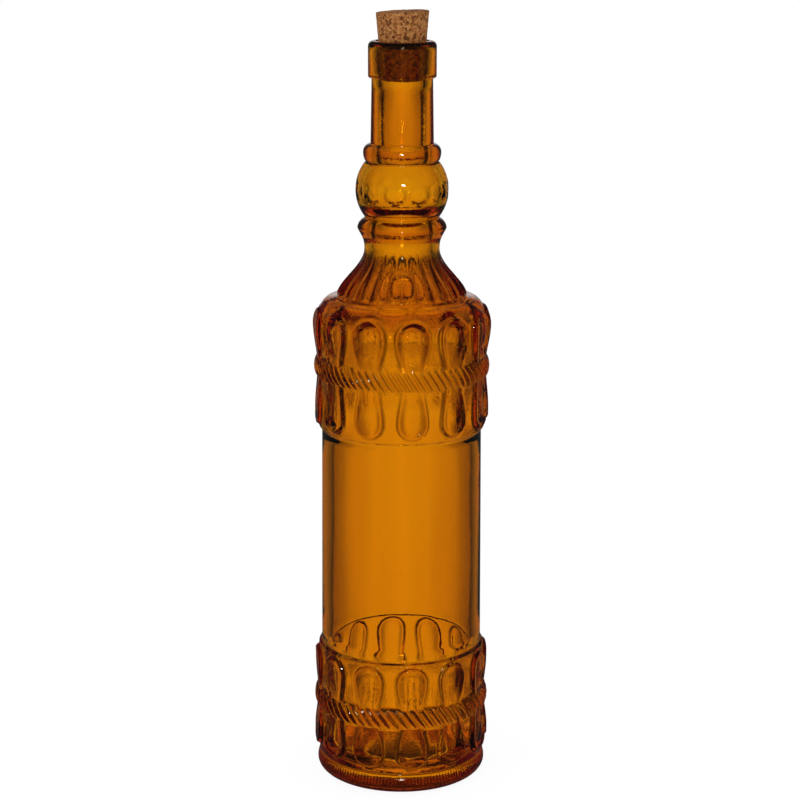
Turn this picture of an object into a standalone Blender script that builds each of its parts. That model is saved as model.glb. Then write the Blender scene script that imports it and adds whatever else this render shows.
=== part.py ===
"""Amber pressed-glass bottle carafe with a tapered cork stopper.

Metres, +Z up. The origin lies on the bottle's axis, level with the ring that it stands on, and
its front faces -Y. Angles round the bottle run from the front towards +X.
"""

import math
from dataclasses import dataclass

import bmesh
import bpy
import numpy as np

# Heights of the bottle's zones, one above the other from the standing ring
FOOT_HEIGHT = 0.0088
LOWER_BAND_HEIGHT = 0.0519
BODY_HEIGHT = 0.0958
UPPER_BAND_HEIGHT = 0.0462
SHOULDER_HEIGHT = 0.0121
STEP_HEIGHT = 0.0020
SKIRT_HEIGHT = 0.0190
COLLAR_HEIGHT = 0.0132
BULB_HEIGHT = 0.0243
RING_HEIGHT = 0.0072
NECK_HEIGHT = 0.0278
LIP_HEIGHT = 0.0154

# Foot: a flat standing ring round a pushed-up underside, then a round heel and a groove
STANDING_RING_INNER = 0.0268
STANDING_RING_OUTER = 0.0310
FOOT_RADIUS = 0.0372
HEEL_HEIGHT = 0.0050
GROOVE_RADIUS = 0.0352
PUSH_UP_HEIGHT = 0.0050
PUSH_UP_FLAT_SHARE = 0.5
PUSH_UP_EDGE_SHARES = (0.92, 0.95)

# Body and plain surface of the bands between their lobes
BODY_BOTTOM_RADIUS = 0.0351
BODY_TOP_RADIUS = 0.0346
LOWER_BAND_RADIUS = 0.0364
UPPER_BAND_RADIUS = 0.0359
BAND_EDGE_HEIGHT = 0.0014

# Lobes: tall raised ovals in a ring, pinched where the rope crosses them
LOBE_COUNT = 12
LOBE_TURN = math.radians(7.5)
LOBE_RIM_WIDTH = 0.0015
LOBE_PANEL_RUN = 0.0022
LOBE_PANEL_SHARE = 0.36
LOBE_WAIST_WIDTH = 0.0052
LOBE_WAIST_HEIGHT = 0.0006
LOBE_TIP_RUN = 0.0085
LOBE_TIP_SHARE = 0.5
LOWER_BAND_LOBE_MARGIN = 0.0030
LOWER_BAND_TOP_LOBE_MARGIN = 0.0020
LOWER_BAND_BOTTOM_LOBE_RADIUS = 0.0078
LOWER_BAND_BOTTOM_LOBE_HEIGHT = 0.0021
LOWER_BAND_TOP_LOBE_RADIUS = 0.0074
LOWER_BAND_TOP_LOBE_HEIGHT = 0.0017
UPPER_BAND_LOBE_MARGIN = 0.0024
UPPER_BAND_LOBE_OVERRUN = 0.0090
UPPER_BAND_BOTTOM_LOBE_RADIUS = 0.0073
UPPER_BAND_BOTTOM_LOBE_HEIGHT = 0.0018
UPPER_BAND_TOP_LOBE_RADIUS = 0.0084
UPPER_BAND_TOP_LOBE_HEIGHT = 0.0027

# Ropes: a rounded moulded cord round the middle of each band
ROPE_HALF_HEIGHT = 0.0046
LOWER_ROPE_RADIUS = 0.0384
LOWER_ROPE_RISE = 0.0263
UPPER_ROPE_RADIUS = 0.0380
UPPER_ROPE_RISE = 0.0285

# Shoulder, fluted skirt and collar
SKIRT_FOOT_RADIUS = 0.0278
SKIRT_TOP_RADIUS = 0.0161
SKIRT_FOOT_PULL = (0.14, 0.30)
SKIRT_TOP_PULL = 0.37
SHOULDER_CURVE_POWER = 3.1
FLUTE_COUNT = 24
FLUTE_DEPTH = 0.0013
COLLAR_RADIUS = 0.0191
COLLAR_EDGE_HEIGHT = 0.0043
COLLAR_NECK_PULL = 0.50
COLLAR_FLARE_PULL = (0.50, 0.36)
COLLAR_EDGE_PULL = 0.0021
COLLAR_TOP_PULL = (0.0016, 0.0004)
WAIST_RADIUS = 0.0157

# Bulb with its ring of thumbprints, then the round ring under the neck
BULB_RADIUS = 0.0199
BULB_PRINT_COUNT = 12
BULB_PRINT_TURN = math.radians(-8.5)
BULB_PRINT_WIDTH = 0.0100
BULB_PRINT_HEIGHT = 0.0076
BULB_PRINT_DEPTH = 0.0005
BULB_TOP_RADIUS = 0.0154
RING_RADIUS = 0.01665

# Neck and lip
NECK_BOTTOM_RADIUS = 0.01345
NECK_TOP_RADIUS = 0.01300
LIP_RADIUS = 0.0145
LIP_BOTTOM_ROUND = 0.0009
LIP_TOP_ROUND = 0.0022
MOUTH_ROUND = 0.0008

# Thickness of the glass
BODY_WALL = 0.0034
BAND_WALL = 0.0047
SHOULDER_WALL = 0.0040
SKIRT_WALL = 0.0039
COLLAR_WALL = 0.0034
WAIST_WALL = 0.0036
BULB_WALL = 0.0034
NECK_WALL = 0.0034
BASE_THICKNESS = 0.0070
FLOOR_CORNER = 0.0120
SKIRT_BORE_PULL = 0.55
COLLAR_BORE_SHARE = 0.35
BULB_BORE_SHARES = (0.92, 0.70, 0.50, 0.30)
MOUTH_ROUND_SHARES = (0.25, 0.35)

# Cork: a tapered plug pushed a part of its length into the mouth, its top cut a little askew
CORK_TOP_RADIUS = 0.0113
CORK_BOTTOM_RADIUS = 0.0088
CORK_LENGTH = 0.0288
CORK_SHOWN = 0.0122
CORK_EDGE = 0.0005
CORK_TOP_SLANT = math.radians(2.6)
CORK_CLEARANCE = 0.0003
CORK_SEAT_DEPTH = 0.0080

# Fineness of the meshes
COLUMNS_PER_LOBE = 8
COLUMNS = COLUMNS_PER_LOBE * LOBE_COUNT
PLAIN_COLUMN_STEP = 2
BORE_COLUMN_STEP = 4
CORK_COLUMNS = 48
MERGE_DISTANCE = 1e-6
BORE_MARK = "in_bore"
ROPE_ROW_SHARE = 0.6
LOBE_END_ROW_SHARE = 0.45
SHOULDER_ROW_SHARE = 0.12
LOBE_COLUMN_SHARES = (0.0, 0.5, 0.75, 1.0)

# Levels, worked out from the heights above
LOWER_BAND_Z = FOOT_HEIGHT
BODY_Z = LOWER_BAND_Z + LOWER_BAND_HEIGHT
UPPER_BAND_Z = BODY_Z + BODY_HEIGHT
SHOULDER_Z = UPPER_BAND_Z + UPPER_BAND_HEIGHT
STEP_Z = SHOULDER_Z + SHOULDER_HEIGHT
SKIRT_Z = STEP_Z + STEP_HEIGHT
COLLAR_Z = SKIRT_Z + SKIRT_HEIGHT
BULB_Z = COLLAR_Z + COLLAR_HEIGHT
RING_Z = BULB_Z + BULB_HEIGHT
NECK_Z = RING_Z + RING_HEIGHT
LIP_Z = NECK_Z + NECK_HEIGHT
MOUTH_Z = LIP_Z + LIP_HEIGHT
CORK_BOTTOM_Z = MOUTH_Z + CORK_SHOWN - CORK_LENGTH


@dataclass(frozen=True)
class HalfLobe:
    """The part of a lobe on one side of the rope: where it ends, its round end and its height."""

    tip: float
    end_radius: float
    height: float


@dataclass(frozen=True)
class Band:
    """A ring of lobes with a rope round its middle."""

    rope_z: float
    rope_radius: float
    base_radius: float
    below: HalfLobe
    above: HalfLobe

    def half(self, z):
        return self.above if z >= self.rope_z else self.below


LOWER_BAND = Band(
    LOWER_BAND_Z + LOWER_ROPE_RISE,
    LOWER_ROPE_RADIUS,
    LOWER_BAND_RADIUS,
    HalfLobe(
        LOWER_BAND_Z + LOWER_BAND_LOBE_MARGIN,
        LOWER_BAND_BOTTOM_LOBE_RADIUS,
        LOWER_BAND_BOTTOM_LOBE_HEIGHT,
    ),
    HalfLobe(
        BODY_Z - LOWER_BAND_TOP_LOBE_MARGIN,
        LOWER_BAND_TOP_LOBE_RADIUS,
        LOWER_BAND_TOP_LOBE_HEIGHT,
    ),
)
UPPER_BAND = Band(
    UPPER_BAND_Z + UPPER_ROPE_RISE,
    UPPER_ROPE_RADIUS,
    UPPER_BAND_RADIUS,
    HalfLobe(
        UPPER_BAND_Z + UPPER_BAND_LOBE_MARGIN,
        UPPER_BAND_BOTTOM_LOBE_RADIUS,
        UPPER_BAND_BOTTOM_LOBE_HEIGHT,
    ),
    HalfLobe(
        SHOULDER_Z + UPPER_BAND_LOBE_OVERRUN,
        UPPER_BAND_TOP_LOBE_RADIUS,
        UPPER_BAND_TOP_LOBE_HEIGHT,
    ),
)


def smooth(share):
    """0 to 1 with a level start and end."""
    share = min(max(share, 0.0), 1.0)
    return share * share * (3 - 2 * share)


def oval_arc(centre, half_axes, start, end, steps):
    """Points on an oval from one angle to another, both ends included."""
    angles = [start + (end - start) * step / steps for step in range(steps + 1)]
    return [
        (centre[0] + half_axes[0] * math.cos(angle), centre[1] + half_axes[1] * math.sin(angle))
        for angle in angles
    ]


def bezier(corners, steps):
    """Points on the curve that four corners draw, both ends included."""
    points = []
    for step in range(steps + 1):
        t = step / steps
        weights = ((1 - t) ** 3, 3 * t * (1 - t) ** 2, 3 * t * t * (1 - t), t**3)
        points.append(tuple(
            sum(weight * corner[axis] for weight, corner in zip(weights, corners, strict=True))
            for axis in range(2)
        ))
    return points


def straight(start, end, heights):
    """Points at these heights on the line from start to end."""
    return [
        (start[0] + (end[0] - start[0]) * (z - start[1]) / (end[1] - start[1]), z) for z in heights
    ]


def lobe_rows(band):
    """Heights of the rows that a band's lobes and rope need, from the bottom up."""
    rows = []
    for half, side in ((band.below, -1), (band.above, 1)):
        reach = abs(half.tip - band.rope_z)
        round_start = reach - half.end_radius
        runs = [
            ROPE_HALF_HEIGHT * ROPE_ROW_SHARE,
            ROPE_HALF_HEIGHT,
            round_start,
            round_start + half.end_radius * LOBE_END_ROW_SHARE,
            reach - LOBE_RIM_WIDTH,
            reach,
        ]
        rows += [band.rope_z + side * run for run in runs]
    return sorted(rows + [band.rope_z])


def foot_outline():
    """The underside, the standing ring, the heel and the groove above it."""
    heel_centre = (STANDING_RING_OUTER, HEEL_HEIGHT)
    heel_axes = (FOOT_RADIUS - STANDING_RING_OUTER, HEEL_HEIGHT)
    groove_centre = (GROOVE_RADIUS, HEEL_HEIGHT)
    groove_axes = (FOOT_RADIUS - GROOVE_RADIUS, FOOT_HEIGHT - HEEL_HEIGHT)
    return (
        bezier(
            (
                (0.0, PUSH_UP_HEIGHT),
                (STANDING_RING_INNER * PUSH_UP_FLAT_SHARE, PUSH_UP_HEIGHT),
                (
                    STANDING_RING_INNER * PUSH_UP_EDGE_SHARES[0],
                    PUSH_UP_HEIGHT * PUSH_UP_EDGE_SHARES[1],
                ),
                (STANDING_RING_INNER, 0.0),
            ),
            4,
        )
        + oval_arc(heel_centre, heel_axes, -math.pi / 2, 0.0, 3)
        + oval_arc(groove_centre, groove_axes, 0.0, math.pi / 2, 2)[1:]
    )


def band_and_shoulder_outline():
    """The plain surface of both bands, the body between them and the shoulder."""
    lower_foot = (LOWER_BAND_RADIUS, LOWER_BAND_Z + BAND_EDGE_HEIGHT)
    lower_top = (LOWER_BAND_RADIUS, BODY_Z - BAND_EDGE_HEIGHT)
    upper_foot = (UPPER_BAND_RADIUS, UPPER_BAND_Z + BAND_EDGE_HEIGHT)
    upper_top = (UPPER_BAND_RADIUS, SHOULDER_Z)
    shoulder_centre = (SKIRT_FOOT_RADIUS, SHOULDER_Z)
    shoulder_axes = (UPPER_BAND_RADIUS - SKIRT_FOOT_RADIUS, SHOULDER_HEIGHT)
    upper_rows = lobe_rows(UPPER_BAND)
    on_wall = [z for z in upper_rows if z < SHOULDER_Z]
    on_shoulder = [z for z in upper_rows if z > SHOULDER_Z]
    shoulder_rows = on_shoulder + [STEP_Z - SHOULDER_HEIGHT * SHOULDER_ROW_SHARE, STEP_Z]
    return (
        [lower_foot]
        + straight(lower_foot, lower_top, lobe_rows(LOWER_BAND))
        + [lower_top, (BODY_BOTTOM_RADIUS, BODY_Z), (BODY_TOP_RADIUS, UPPER_BAND_Z), upper_foot]
        + straight(upper_foot, upper_top, on_wall)
        + [shoulder_point(shoulder_centre, shoulder_axes, z) for z in shoulder_rows]
    )


def shoulder_point(centre, half_axes, z):
    """The point of the shoulder's rounded oval at this height."""
    rise = min((z - centre[1]) / half_axes[1], 1.0)
    out = (1 - rise**SHOULDER_CURVE_POWER) ** (1 / SHOULDER_CURVE_POWER)
    return centre[0] + half_axes[0] * out, z


def skirt_outline():
    """The fluted skirt, from its foot up to where it meets the collar."""
    foot = (SKIRT_FOOT_RADIUS, SKIRT_Z)
    top = (SKIRT_TOP_RADIUS, COLLAR_Z)
    spread = SKIRT_FOOT_RADIUS - SKIRT_TOP_RADIUS
    return bezier(
        (
            foot,
            (foot[0] - spread * SKIRT_FOOT_PULL[0], foot[1] + SKIRT_HEIGHT * SKIRT_FOOT_PULL[1]),
            (top[0], top[1] - SKIRT_HEIGHT * SKIRT_TOP_PULL),
            top,
        ),
        5,
    )


def collar_outline():
    """The flared collar and its round edge, up to the waist under the bulb."""
    edge_z = BULB_Z - COLLAR_EDGE_HEIGHT
    flare = edge_z - COLLAR_Z
    spread = COLLAR_RADIUS - SKIRT_TOP_RADIUS
    under = bezier(
        (
            (SKIRT_TOP_RADIUS, COLLAR_Z),
            (SKIRT_TOP_RADIUS, COLLAR_Z + flare * COLLAR_NECK_PULL),
            (COLLAR_RADIUS - spread * COLLAR_FLARE_PULL[0], edge_z - flare * COLLAR_FLARE_PULL[1]),
            (COLLAR_RADIUS, edge_z),
        ),
        3,
    )
    over = bezier(
        (
            (COLLAR_RADIUS, edge_z),
            (COLLAR_RADIUS, edge_z + COLLAR_EDGE_PULL),
            (WAIST_RADIUS + COLLAR_TOP_PULL[0], BULB_Z - COLLAR_TOP_PULL[1]),
            (WAIST_RADIUS, BULB_Z),
        ),
        2,
    )
    return under[1:] + over[1:]


def bulge(bottom, top, radius, steps):
    """A round bulge between two points of the outline, reaching out to this radius."""
    middle = (bottom[1] + top[1]) / 2
    half = (top[1] - bottom[1]) / 2
    points = []
    for step in range(1, steps):
        share = -math.cos(math.pi * step / steps)
        foot = bottom[0] + (top[0] - bottom[0]) * (share + 1) / 2
        points.append((foot + (radius - foot) * math.sqrt(1 - share * share), middle + half * share))
    return points


def bulb_arc_radius():
    """Radius of the bulb's arc, which is set by how far it swells over its height."""
    half = BULB_HEIGHT / 2
    swell = BULB_RADIUS - (WAIST_RADIUS + BULB_TOP_RADIUS) / 2
    return (half * half + swell * swell) / (2 * swell)


def bulb_point(z, inset=0.0):
    """The point of the bulb's arc at this height, or of an arc that lies inside it by inset."""
    radius = bulb_arc_radius() - inset
    rise = z - (BULB_Z + BULB_HEIGHT / 2)
    return BULB_RADIUS - bulb_arc_radius() + math.sqrt(max(radius**2 - rise**2, 0.0)), z


def bulb_and_neck_outline():
    """The bulb, the ring, the neck and the lip, up to the flat top of the mouth."""
    bulb = [bulb_point(BULB_Z + BULB_HEIGHT * step / 7) for step in range(1, 7)]
    ring = bulge((BULB_TOP_RADIUS, RING_Z), (NECK_BOTTOM_RADIUS, NECK_Z), RING_RADIUS, 4)
    lip_bottom = oval_arc(
        (LIP_RADIUS - LIP_BOTTOM_ROUND, LIP_Z + LIP_BOTTOM_ROUND),
        (LIP_BOTTOM_ROUND, LIP_BOTTOM_ROUND),
        -math.pi / 2,
        0.0,
        2,
    )
    lip_top = oval_arc(
        (LIP_RADIUS - LIP_TOP_ROUND, MOUTH_Z - LIP_TOP_ROUND),
        (LIP_TOP_ROUND, LIP_TOP_ROUND),
        0.0,
        math.pi / 2,
        2,
    )
    return (
        bulb
        + [(BULB_TOP_RADIUS, RING_Z)]
        + ring
        + [(NECK_BOTTOM_RADIUS, NECK_Z), (NECK_TOP_RADIUS, LIP_Z)]
        + lip_bottom
        + lip_top
    )


def cork_radius(z):
    """Radius of the tapered cork at this height."""
    share = (z - CORK_BOTTOM_Z) / CORK_LENGTH
    return CORK_BOTTOM_RADIUS + (CORK_TOP_RADIUS - CORK_BOTTOM_RADIUS) * share


def bore_outline():
    """The inside of the bottle, from the mouth down to the middle of the floor."""
    seat_z = MOUTH_Z - CORK_SEAT_DEPTH
    mouth_edge_z = MOUTH_Z - MOUTH_ROUND
    neck_bore = NECK_TOP_RADIUS - NECK_WALL
    mouth_radius = cork_radius(mouth_edge_z) + CORK_CLEARANCE
    floor_z = PUSH_UP_HEIGHT + BASE_THICKNESS
    body_bore_top = BODY_TOP_RADIUS - BODY_WALL
    body_bore_bottom = BODY_BOTTOM_RADIUS - BODY_WALL
    band_bore = UPPER_BAND_RADIUS - BAND_WALL
    waist_bore = WAIST_RADIUS - WAIST_WALL
    collar_bore = SKIRT_TOP_RADIUS - COLLAR_WALL
    bulb_rows = [BULB_Z + BULB_HEIGHT * share for share in BULB_BORE_SHARES]
    bulb = [bulb_point(z, BULB_WALL) for z in bulb_rows]
    mouth = [
        (mouth_radius + MOUTH_ROUND, MOUTH_Z),
        (
            mouth_radius + MOUTH_ROUND * MOUTH_ROUND_SHARES[0],
            MOUTH_Z - MOUTH_ROUND * MOUTH_ROUND_SHARES[1],
        ),
        (mouth_radius, mouth_edge_z),
        (cork_radius(seat_z) + CORK_CLEARANCE, seat_z),
        (neck_bore, seat_z - CORK_SEAT_DEPTH / 2),
        (neck_bore, NECK_Z),
    ]
    skirt = bezier(
        (
            (collar_bore, COLLAR_Z),
            (collar_bore, COLLAR_Z - SKIRT_HEIGHT * SKIRT_BORE_PULL),
            (SKIRT_FOOT_RADIUS - SKIRT_WALL, SKIRT_Z),
            (SKIRT_FOOT_RADIUS - SKIRT_WALL, STEP_Z - SHOULDER_WALL),
        ),
        3,
    )
    shoulder = oval_arc(
        (SKIRT_FOOT_RADIUS - SKIRT_WALL, SHOULDER_Z - SHOULDER_WALL),
        (band_bore - (SKIRT_FOOT_RADIUS - SKIRT_WALL), SHOULDER_HEIGHT),
        math.pi / 2,
        0.0,
        4,
    )
    floor = oval_arc(
        (body_bore_bottom - FLOOR_CORNER, FLOOR_CORNER + BASE_THICKNESS),
        (FLOOR_CORNER, FLOOR_CORNER),
        0.0,
        -math.pi / 2,
        3,
    )
    return (
        mouth
        + bulb
        + [(waist_bore, BULB_Z), (collar_bore, COLLAR_Z + COLLAR_HEIGHT * COLLAR_BORE_SHARE)]
        + skirt
        + shoulder[1:]
        + [(body_bore_top, UPPER_BAND_Z)]
        + floor
        + [(0.0, floor_z)]
    )


def lobe_half_width(half, run, reach):
    """Half the width of a lobe at this distance from the rope's middle."""
    round_start = reach - half.end_radius
    if run <= round_start:
        share = smooth(run / round_start)
        return LOBE_WAIST_WIDTH + (half.end_radius - LOBE_WAIST_WIDTH) * share
    over = min(run - round_start, half.end_radius)
    return math.sqrt(half.end_radius**2 - over**2)


def lobe_relief(band, offset, z):
    """How far a lobe stands out at this distance round from its middle line.

    The lobes that run up onto the shoulder get lower towards their tips.
    """
    half = band.half(z)
    reach = abs(half.tip - band.rope_z)
    run = abs(z - band.rope_z)
    round_start = reach - half.end_radius
    if run <= round_start:
        inside = lobe_half_width(half, run, reach) - offset
    else:
        inside = half.end_radius - math.hypot(offset, run - round_start)
    height = LOBE_WAIST_HEIGHT + (half.height - LOBE_WAIST_HEIGHT) * smooth(run / round_start)
    if half.tip > SHOULDER_Z:
        height *= LOBE_TIP_SHARE + (1 - LOBE_TIP_SHARE) * smooth((reach - run) / LOBE_TIP_RUN)
    rim = smooth(inside / LOBE_RIM_WIDTH)
    panel = smooth((inside - LOBE_RIM_WIDTH) / LOBE_PANEL_RUN)
    return height * (rim - LOBE_PANEL_SHARE * panel)


def rope_radius(band, z):
    """Radius of the rope at this height, or zero away from it."""
    share = abs(z - band.rope_z) / ROPE_HALF_HEIGHT
    if share >= 1:
        return 0.0
    return band.base_radius + (band.rope_radius - band.base_radius) * math.sqrt(1 - share * share)


def band_at(z):
    """The band whose lobes or rope reach this height, or None."""
    for band in (LOWER_BAND, UPPER_BAND):
        if band.below.tip <= z <= band.above.tip:
            return band
    return None


def lobe_angle(angle, radius, z, band):
    """Moves a column of the mesh so that it follows the outline of its lobe."""
    pitch = 2 * math.pi / LOBE_COUNT
    middle = round((angle - LOBE_TURN) / pitch) * pitch + LOBE_TURN
    half = band.half(z)
    reach = abs(half.tip - band.rope_z)
    least = half.end_radius / 2
    width = max(lobe_half_width(half, abs(z - band.rope_z), reach), least)
    share = abs(angle - middle) / (pitch / 2)
    offset = np.interp(
        share, LOBE_COLUMN_SHARES, (0.0, width - LOBE_RIM_WIDTH, width, radius * pitch / 2)
    )
    return middle + math.copysign(offset / radius, angle - middle), offset


def bulb_print_relief(angle, radius, z):
    """How deep the ring of shallow thumbprints presses into the bulb here."""
    pitch = 2 * math.pi / BULB_PRINT_COUNT
    middle = round((angle - BULB_PRINT_TURN) / pitch) * pitch + BULB_PRINT_TURN
    across = (angle - middle) * radius / (BULB_PRINT_WIDTH / 2)
    up = (z - (BULB_Z + BULB_HEIGHT / 2)) / (BULB_PRINT_HEIGHT / 2)
    return BULB_PRINT_DEPTH * smooth(1 - across * across - up * up)


def flute_relief(angle, z):
    """How deep the skirt's flutes cut here: sharp ridges between round hollows."""
    pitch = 2 * math.pi / FLUTE_COUNT
    across = 2 * (angle / pitch - math.floor(angle / pitch)) - 1
    return FLUTE_DEPTH * (1 - smooth((z - SKIRT_Z) / SKIRT_HEIGHT)) * (1 - across * across)


def is_plain(z):
    """True at the heights of the foot and the neck, which have no relief finer than the bulb's."""
    return z <= LOWER_BAND_Z + MERGE_DISTANCE or z >= COLLAR_Z - MERGE_DISTANCE


def shape_outside(bm):
    """Presses the lobes, ropes, flutes and thumbprints into the turned outside of the glass."""
    in_bore = bm.verts.layers.int[BORE_MARK]
    for vert in bm.verts:
        if vert[in_bore]:
            continue
        radius = math.hypot(vert.co.x, vert.co.y)
        z = vert.co.z
        angle = math.atan2(vert.co.x, -vert.co.y)
        band = band_at(z)
        if band:
            angle, offset = lobe_angle(angle, radius, z, band)
            radius = max(radius + lobe_relief(band, offset, z), rope_radius(band, z))
        elif SKIRT_Z - MERGE_DISTANCE <= z < COLLAR_Z:
            radius -= flute_relief(angle, z)
        elif BULB_Z < z < RING_Z:
            radius -= bulb_print_relief(angle, radius, z)
        vert.co.x = radius * math.sin(angle)
        vert.co.y = -radius * math.cos(angle)


def thin_columns(bm, step, plain):
    """Keeps one column of the mesh in every step where plain holds at both ends of an edge."""
    spacing = 2 * math.pi / COLUMNS
    spare = []
    for edge in bm.edges:
        angles = [math.atan2(vert.co.x, -vert.co.y) for vert in edge.verts]
        if any(math.hypot(vert.co.x, vert.co.y) < MERGE_DISTANCE for vert in edge.verts):
            angles = [max(angles, key=abs)] * 2
        if abs(math.remainder(angles[0] - angles[1], 2 * math.pi)) > spacing / 4:
            continue
        if round(angles[0] / spacing) % step and all(plain(vert) for vert in edge.verts):
            spare.append(edge)
    bmesh.ops.dissolve_edges(bm, edges=spare, use_verts=True)


def turn(outside, bore, columns):
    """A closed mesh: the outline turned all the way round, with the points of the bore marked."""
    bm = bmesh.new()
    in_bore = bm.verts.layers.int.new(BORE_MARK)
    start = [bm.verts.new((0.0, -radius, z)) for radius, z in outside + bore]
    for vert in start[len(outside):]:
        vert[in_bore] = 1
    edges = [bm.edges.new(pair) for pair in zip(start, start[1:])]
    bmesh.ops.spin(
        bm,
        geom=start + edges,
        cent=(0, 0, 0),
        axis=(0, 0, 1),
        angle=2 * math.pi,
        steps=columns,
        use_merge=True,
    )
    bmesh.ops.remove_doubles(bm, verts=bm.verts, dist=MERGE_DISTANCE)
    return bm


def finish(bm, name, material):
    """Makes a named object of a finished mesh, shaded smooth but for its sharp edges."""
    bmesh.ops.recalc_face_normals(bm, faces=bm.faces)
    mesh = bpy.data.meshes.new(name)
    bm.to_mesh(mesh)
    bm.free()
    mesh.materials.append(material)
    mesh.shade_smooth()
    mesh.set_sharp_from_angle(angle=math.radians(40))
    piece = bpy.data.objects.new(name, mesh)
    bpy.context.scene.collection.objects.link(piece)
    return piece


def make_material(name, colour, roughness, transmission=0.0, ior=1.5):
    """A Principled material with one plain colour."""
    material = bpy.data.materials.new(name)
    material.use_nodes = True
    shader = material.node_tree.nodes["Principled BSDF"]
    shader.inputs["Base Color"].default_value = (*colour, 1.0)
    shader.inputs["Metallic"].default_value = 0.0
    shader.inputs["Roughness"].default_value = roughness
    shader.inputs["Transmission Weight"].default_value = transmission
    shader.inputs["IOR"].default_value = ior
    return material


def make_glass_bottle():
    """The one-piece moulded glass bottle."""
    outside = (
        foot_outline()
        + band_and_shoulder_outline()
        + skirt_outline()
        + collar_outline()
        + bulb_and_neck_outline()
    )
    bm = turn(outside, bore_outline(), COLUMNS)
    in_bore = bm.verts.layers.int[BORE_MARK]
    thin_columns(bm, PLAIN_COLUMN_STEP, lambda vert: vert[in_bore] or is_plain(vert.co.z))
    thin_columns(bm, BORE_COLUMN_STEP, lambda vert: vert[in_bore] and vert.co.z < NECK_Z)
    shape_outside(bm)
    amber = make_material("amber_glass", (0.56, 0.19, 0.008), 0.04, transmission=0.9, ior=1.52)
    return finish(bm, "glass_bottle", amber)


def make_cork_stopper(lift):
    """The tapered cork, which hangs on the empty that lifts it."""
    top_z = CORK_BOTTOM_Z + CORK_LENGTH
    outline = [
        (0.0, CORK_BOTTOM_Z),
        (CORK_BOTTOM_RADIUS - CORK_EDGE, CORK_BOTTOM_Z),
        (cork_radius(CORK_BOTTOM_Z + CORK_EDGE), CORK_BOTTOM_Z + CORK_EDGE),
        (cork_radius(MOUTH_Z), MOUTH_Z),
        (cork_radius(top_z - CORK_EDGE), top_z - CORK_EDGE),
        (CORK_TOP_RADIUS - CORK_EDGE, top_z),
        (0.0, top_z),
    ]
    bm = turn(outline, [], CORK_COLUMNS)
    for vert in bm.verts:
        if vert.co.z > MOUTH_Z + CORK_SHOWN / 2:
            vert.co.z += vert.co.x * math.tan(CORK_TOP_SLANT)
    cork = make_material("cork", (0.50, 0.30, 0.15), 0.85)
    stopper = finish(bm, "cork_stopper", cork)
    stopper.parent = lift
    stopper.matrix_parent_inverse = lift.matrix_world.inverted()
    return stopper


def main():
    for item in list(bpy.data.objects):
        bpy.data.objects.remove(item, do_unlink=True)
    make_glass_bottle()
    lift = bpy.data.objects.new("cork_lift_axis", None)
    bpy.context.scene.collection.objects.link(lift)
    make_cork_stopper(lift)


main()
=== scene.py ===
"""Looks of an amber pressed-glass carafe and its tapered cork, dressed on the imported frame.

Metres, +Z up, as in the frame. The bottle is turned from its outline, and its lobes, ropes,
flutes and thumbprints are then pressed into the turned glass. Angles round the bottle run from
its front, which faces -Y, towards +X.
"""

import logging
import math
from collections.abc import Callable, Iterator
from dataclasses import dataclass
from enum import Enum
from typing import NamedTuple

import bmesh
import bpy
import numpy as np
from mathutils import Euler, Matrix, Vector, noise


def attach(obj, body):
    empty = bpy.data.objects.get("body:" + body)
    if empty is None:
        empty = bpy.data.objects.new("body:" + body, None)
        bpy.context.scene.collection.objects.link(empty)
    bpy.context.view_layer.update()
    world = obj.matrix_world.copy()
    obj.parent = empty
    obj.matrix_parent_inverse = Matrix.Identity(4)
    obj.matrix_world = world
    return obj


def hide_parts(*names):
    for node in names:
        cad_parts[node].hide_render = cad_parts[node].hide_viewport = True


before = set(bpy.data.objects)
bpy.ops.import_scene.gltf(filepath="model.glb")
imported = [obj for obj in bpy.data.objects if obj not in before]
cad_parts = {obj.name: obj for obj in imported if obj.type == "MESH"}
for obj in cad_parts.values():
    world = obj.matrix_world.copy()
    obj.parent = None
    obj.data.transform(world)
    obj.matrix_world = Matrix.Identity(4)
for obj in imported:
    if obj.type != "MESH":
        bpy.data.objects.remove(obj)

log = logging.getLogger("carafe")

Point = tuple[float, float]
Outline = list[Point]
Socket = bpy.types.NodeSocket
Colour = tuple[float, float, float, float]

MILLIMETRE = 0.001
MERGE_DISTANCE = 1e-6
QUARTER_TURN = math.pi / 2
SECTORS = 12
CORNER_RUN = 0.0005
MIDDLE_HEIGHT = 0.17


class Body(Enum):
    """The bodies of the frame that pieces ride on."""

    BOTTLE = "bottle"
    STOPPER = "stopper"


class Mark(Enum):
    """Integer layers that tell the surfaces of a turned mesh apart."""

    IN_BORE = "in_bore"


# Curves of the outline


def smooth(share: np.ndarray | float) -> np.ndarray:
    """Takes a share from 0 to 1 with a level start and end.

    Args:
        share: The share, which is cut off below 0 and above 1.

    Returns:
        The eased share.
    """
    share = np.clip(share, 0.0, 1.0)
    return share * share * (3 - 2 * share)


def spaced(start: float, end: float, step: float) -> list[float]:
    """Gives even heights from start to end, both included.

    Args:
        start: The first height.
        end: The last height.
        step: The widest gap between two heights.

    Returns:
        The heights in order.
    """
    count = max(1, math.ceil(abs(end - start) / step))
    return [float(z) for z in np.linspace(start, end, count + 1)]


def bezier(corners: tuple[Point, Point, Point, Point], steps: int) -> Outline:
    """Draws the curve of four corners.

    Args:
        corners: The start, its pull, the end's pull and the end.
        steps: How many pieces the curve is cut into.

    Returns:
        Its points, both ends included.
    """
    points = []
    for step in range(steps + 1):
        t = step / steps
        weights = ((1 - t) ** 3, 3 * t * (1 - t) ** 2, 3 * t * t * (1 - t), t**3)
        radius = sum(weight * corner[0] for weight, corner in zip(weights, corners, strict=True))
        z = sum(weight * corner[1] for weight, corner in zip(weights, corners, strict=True))
        points.append((radius, z))
    return points


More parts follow.
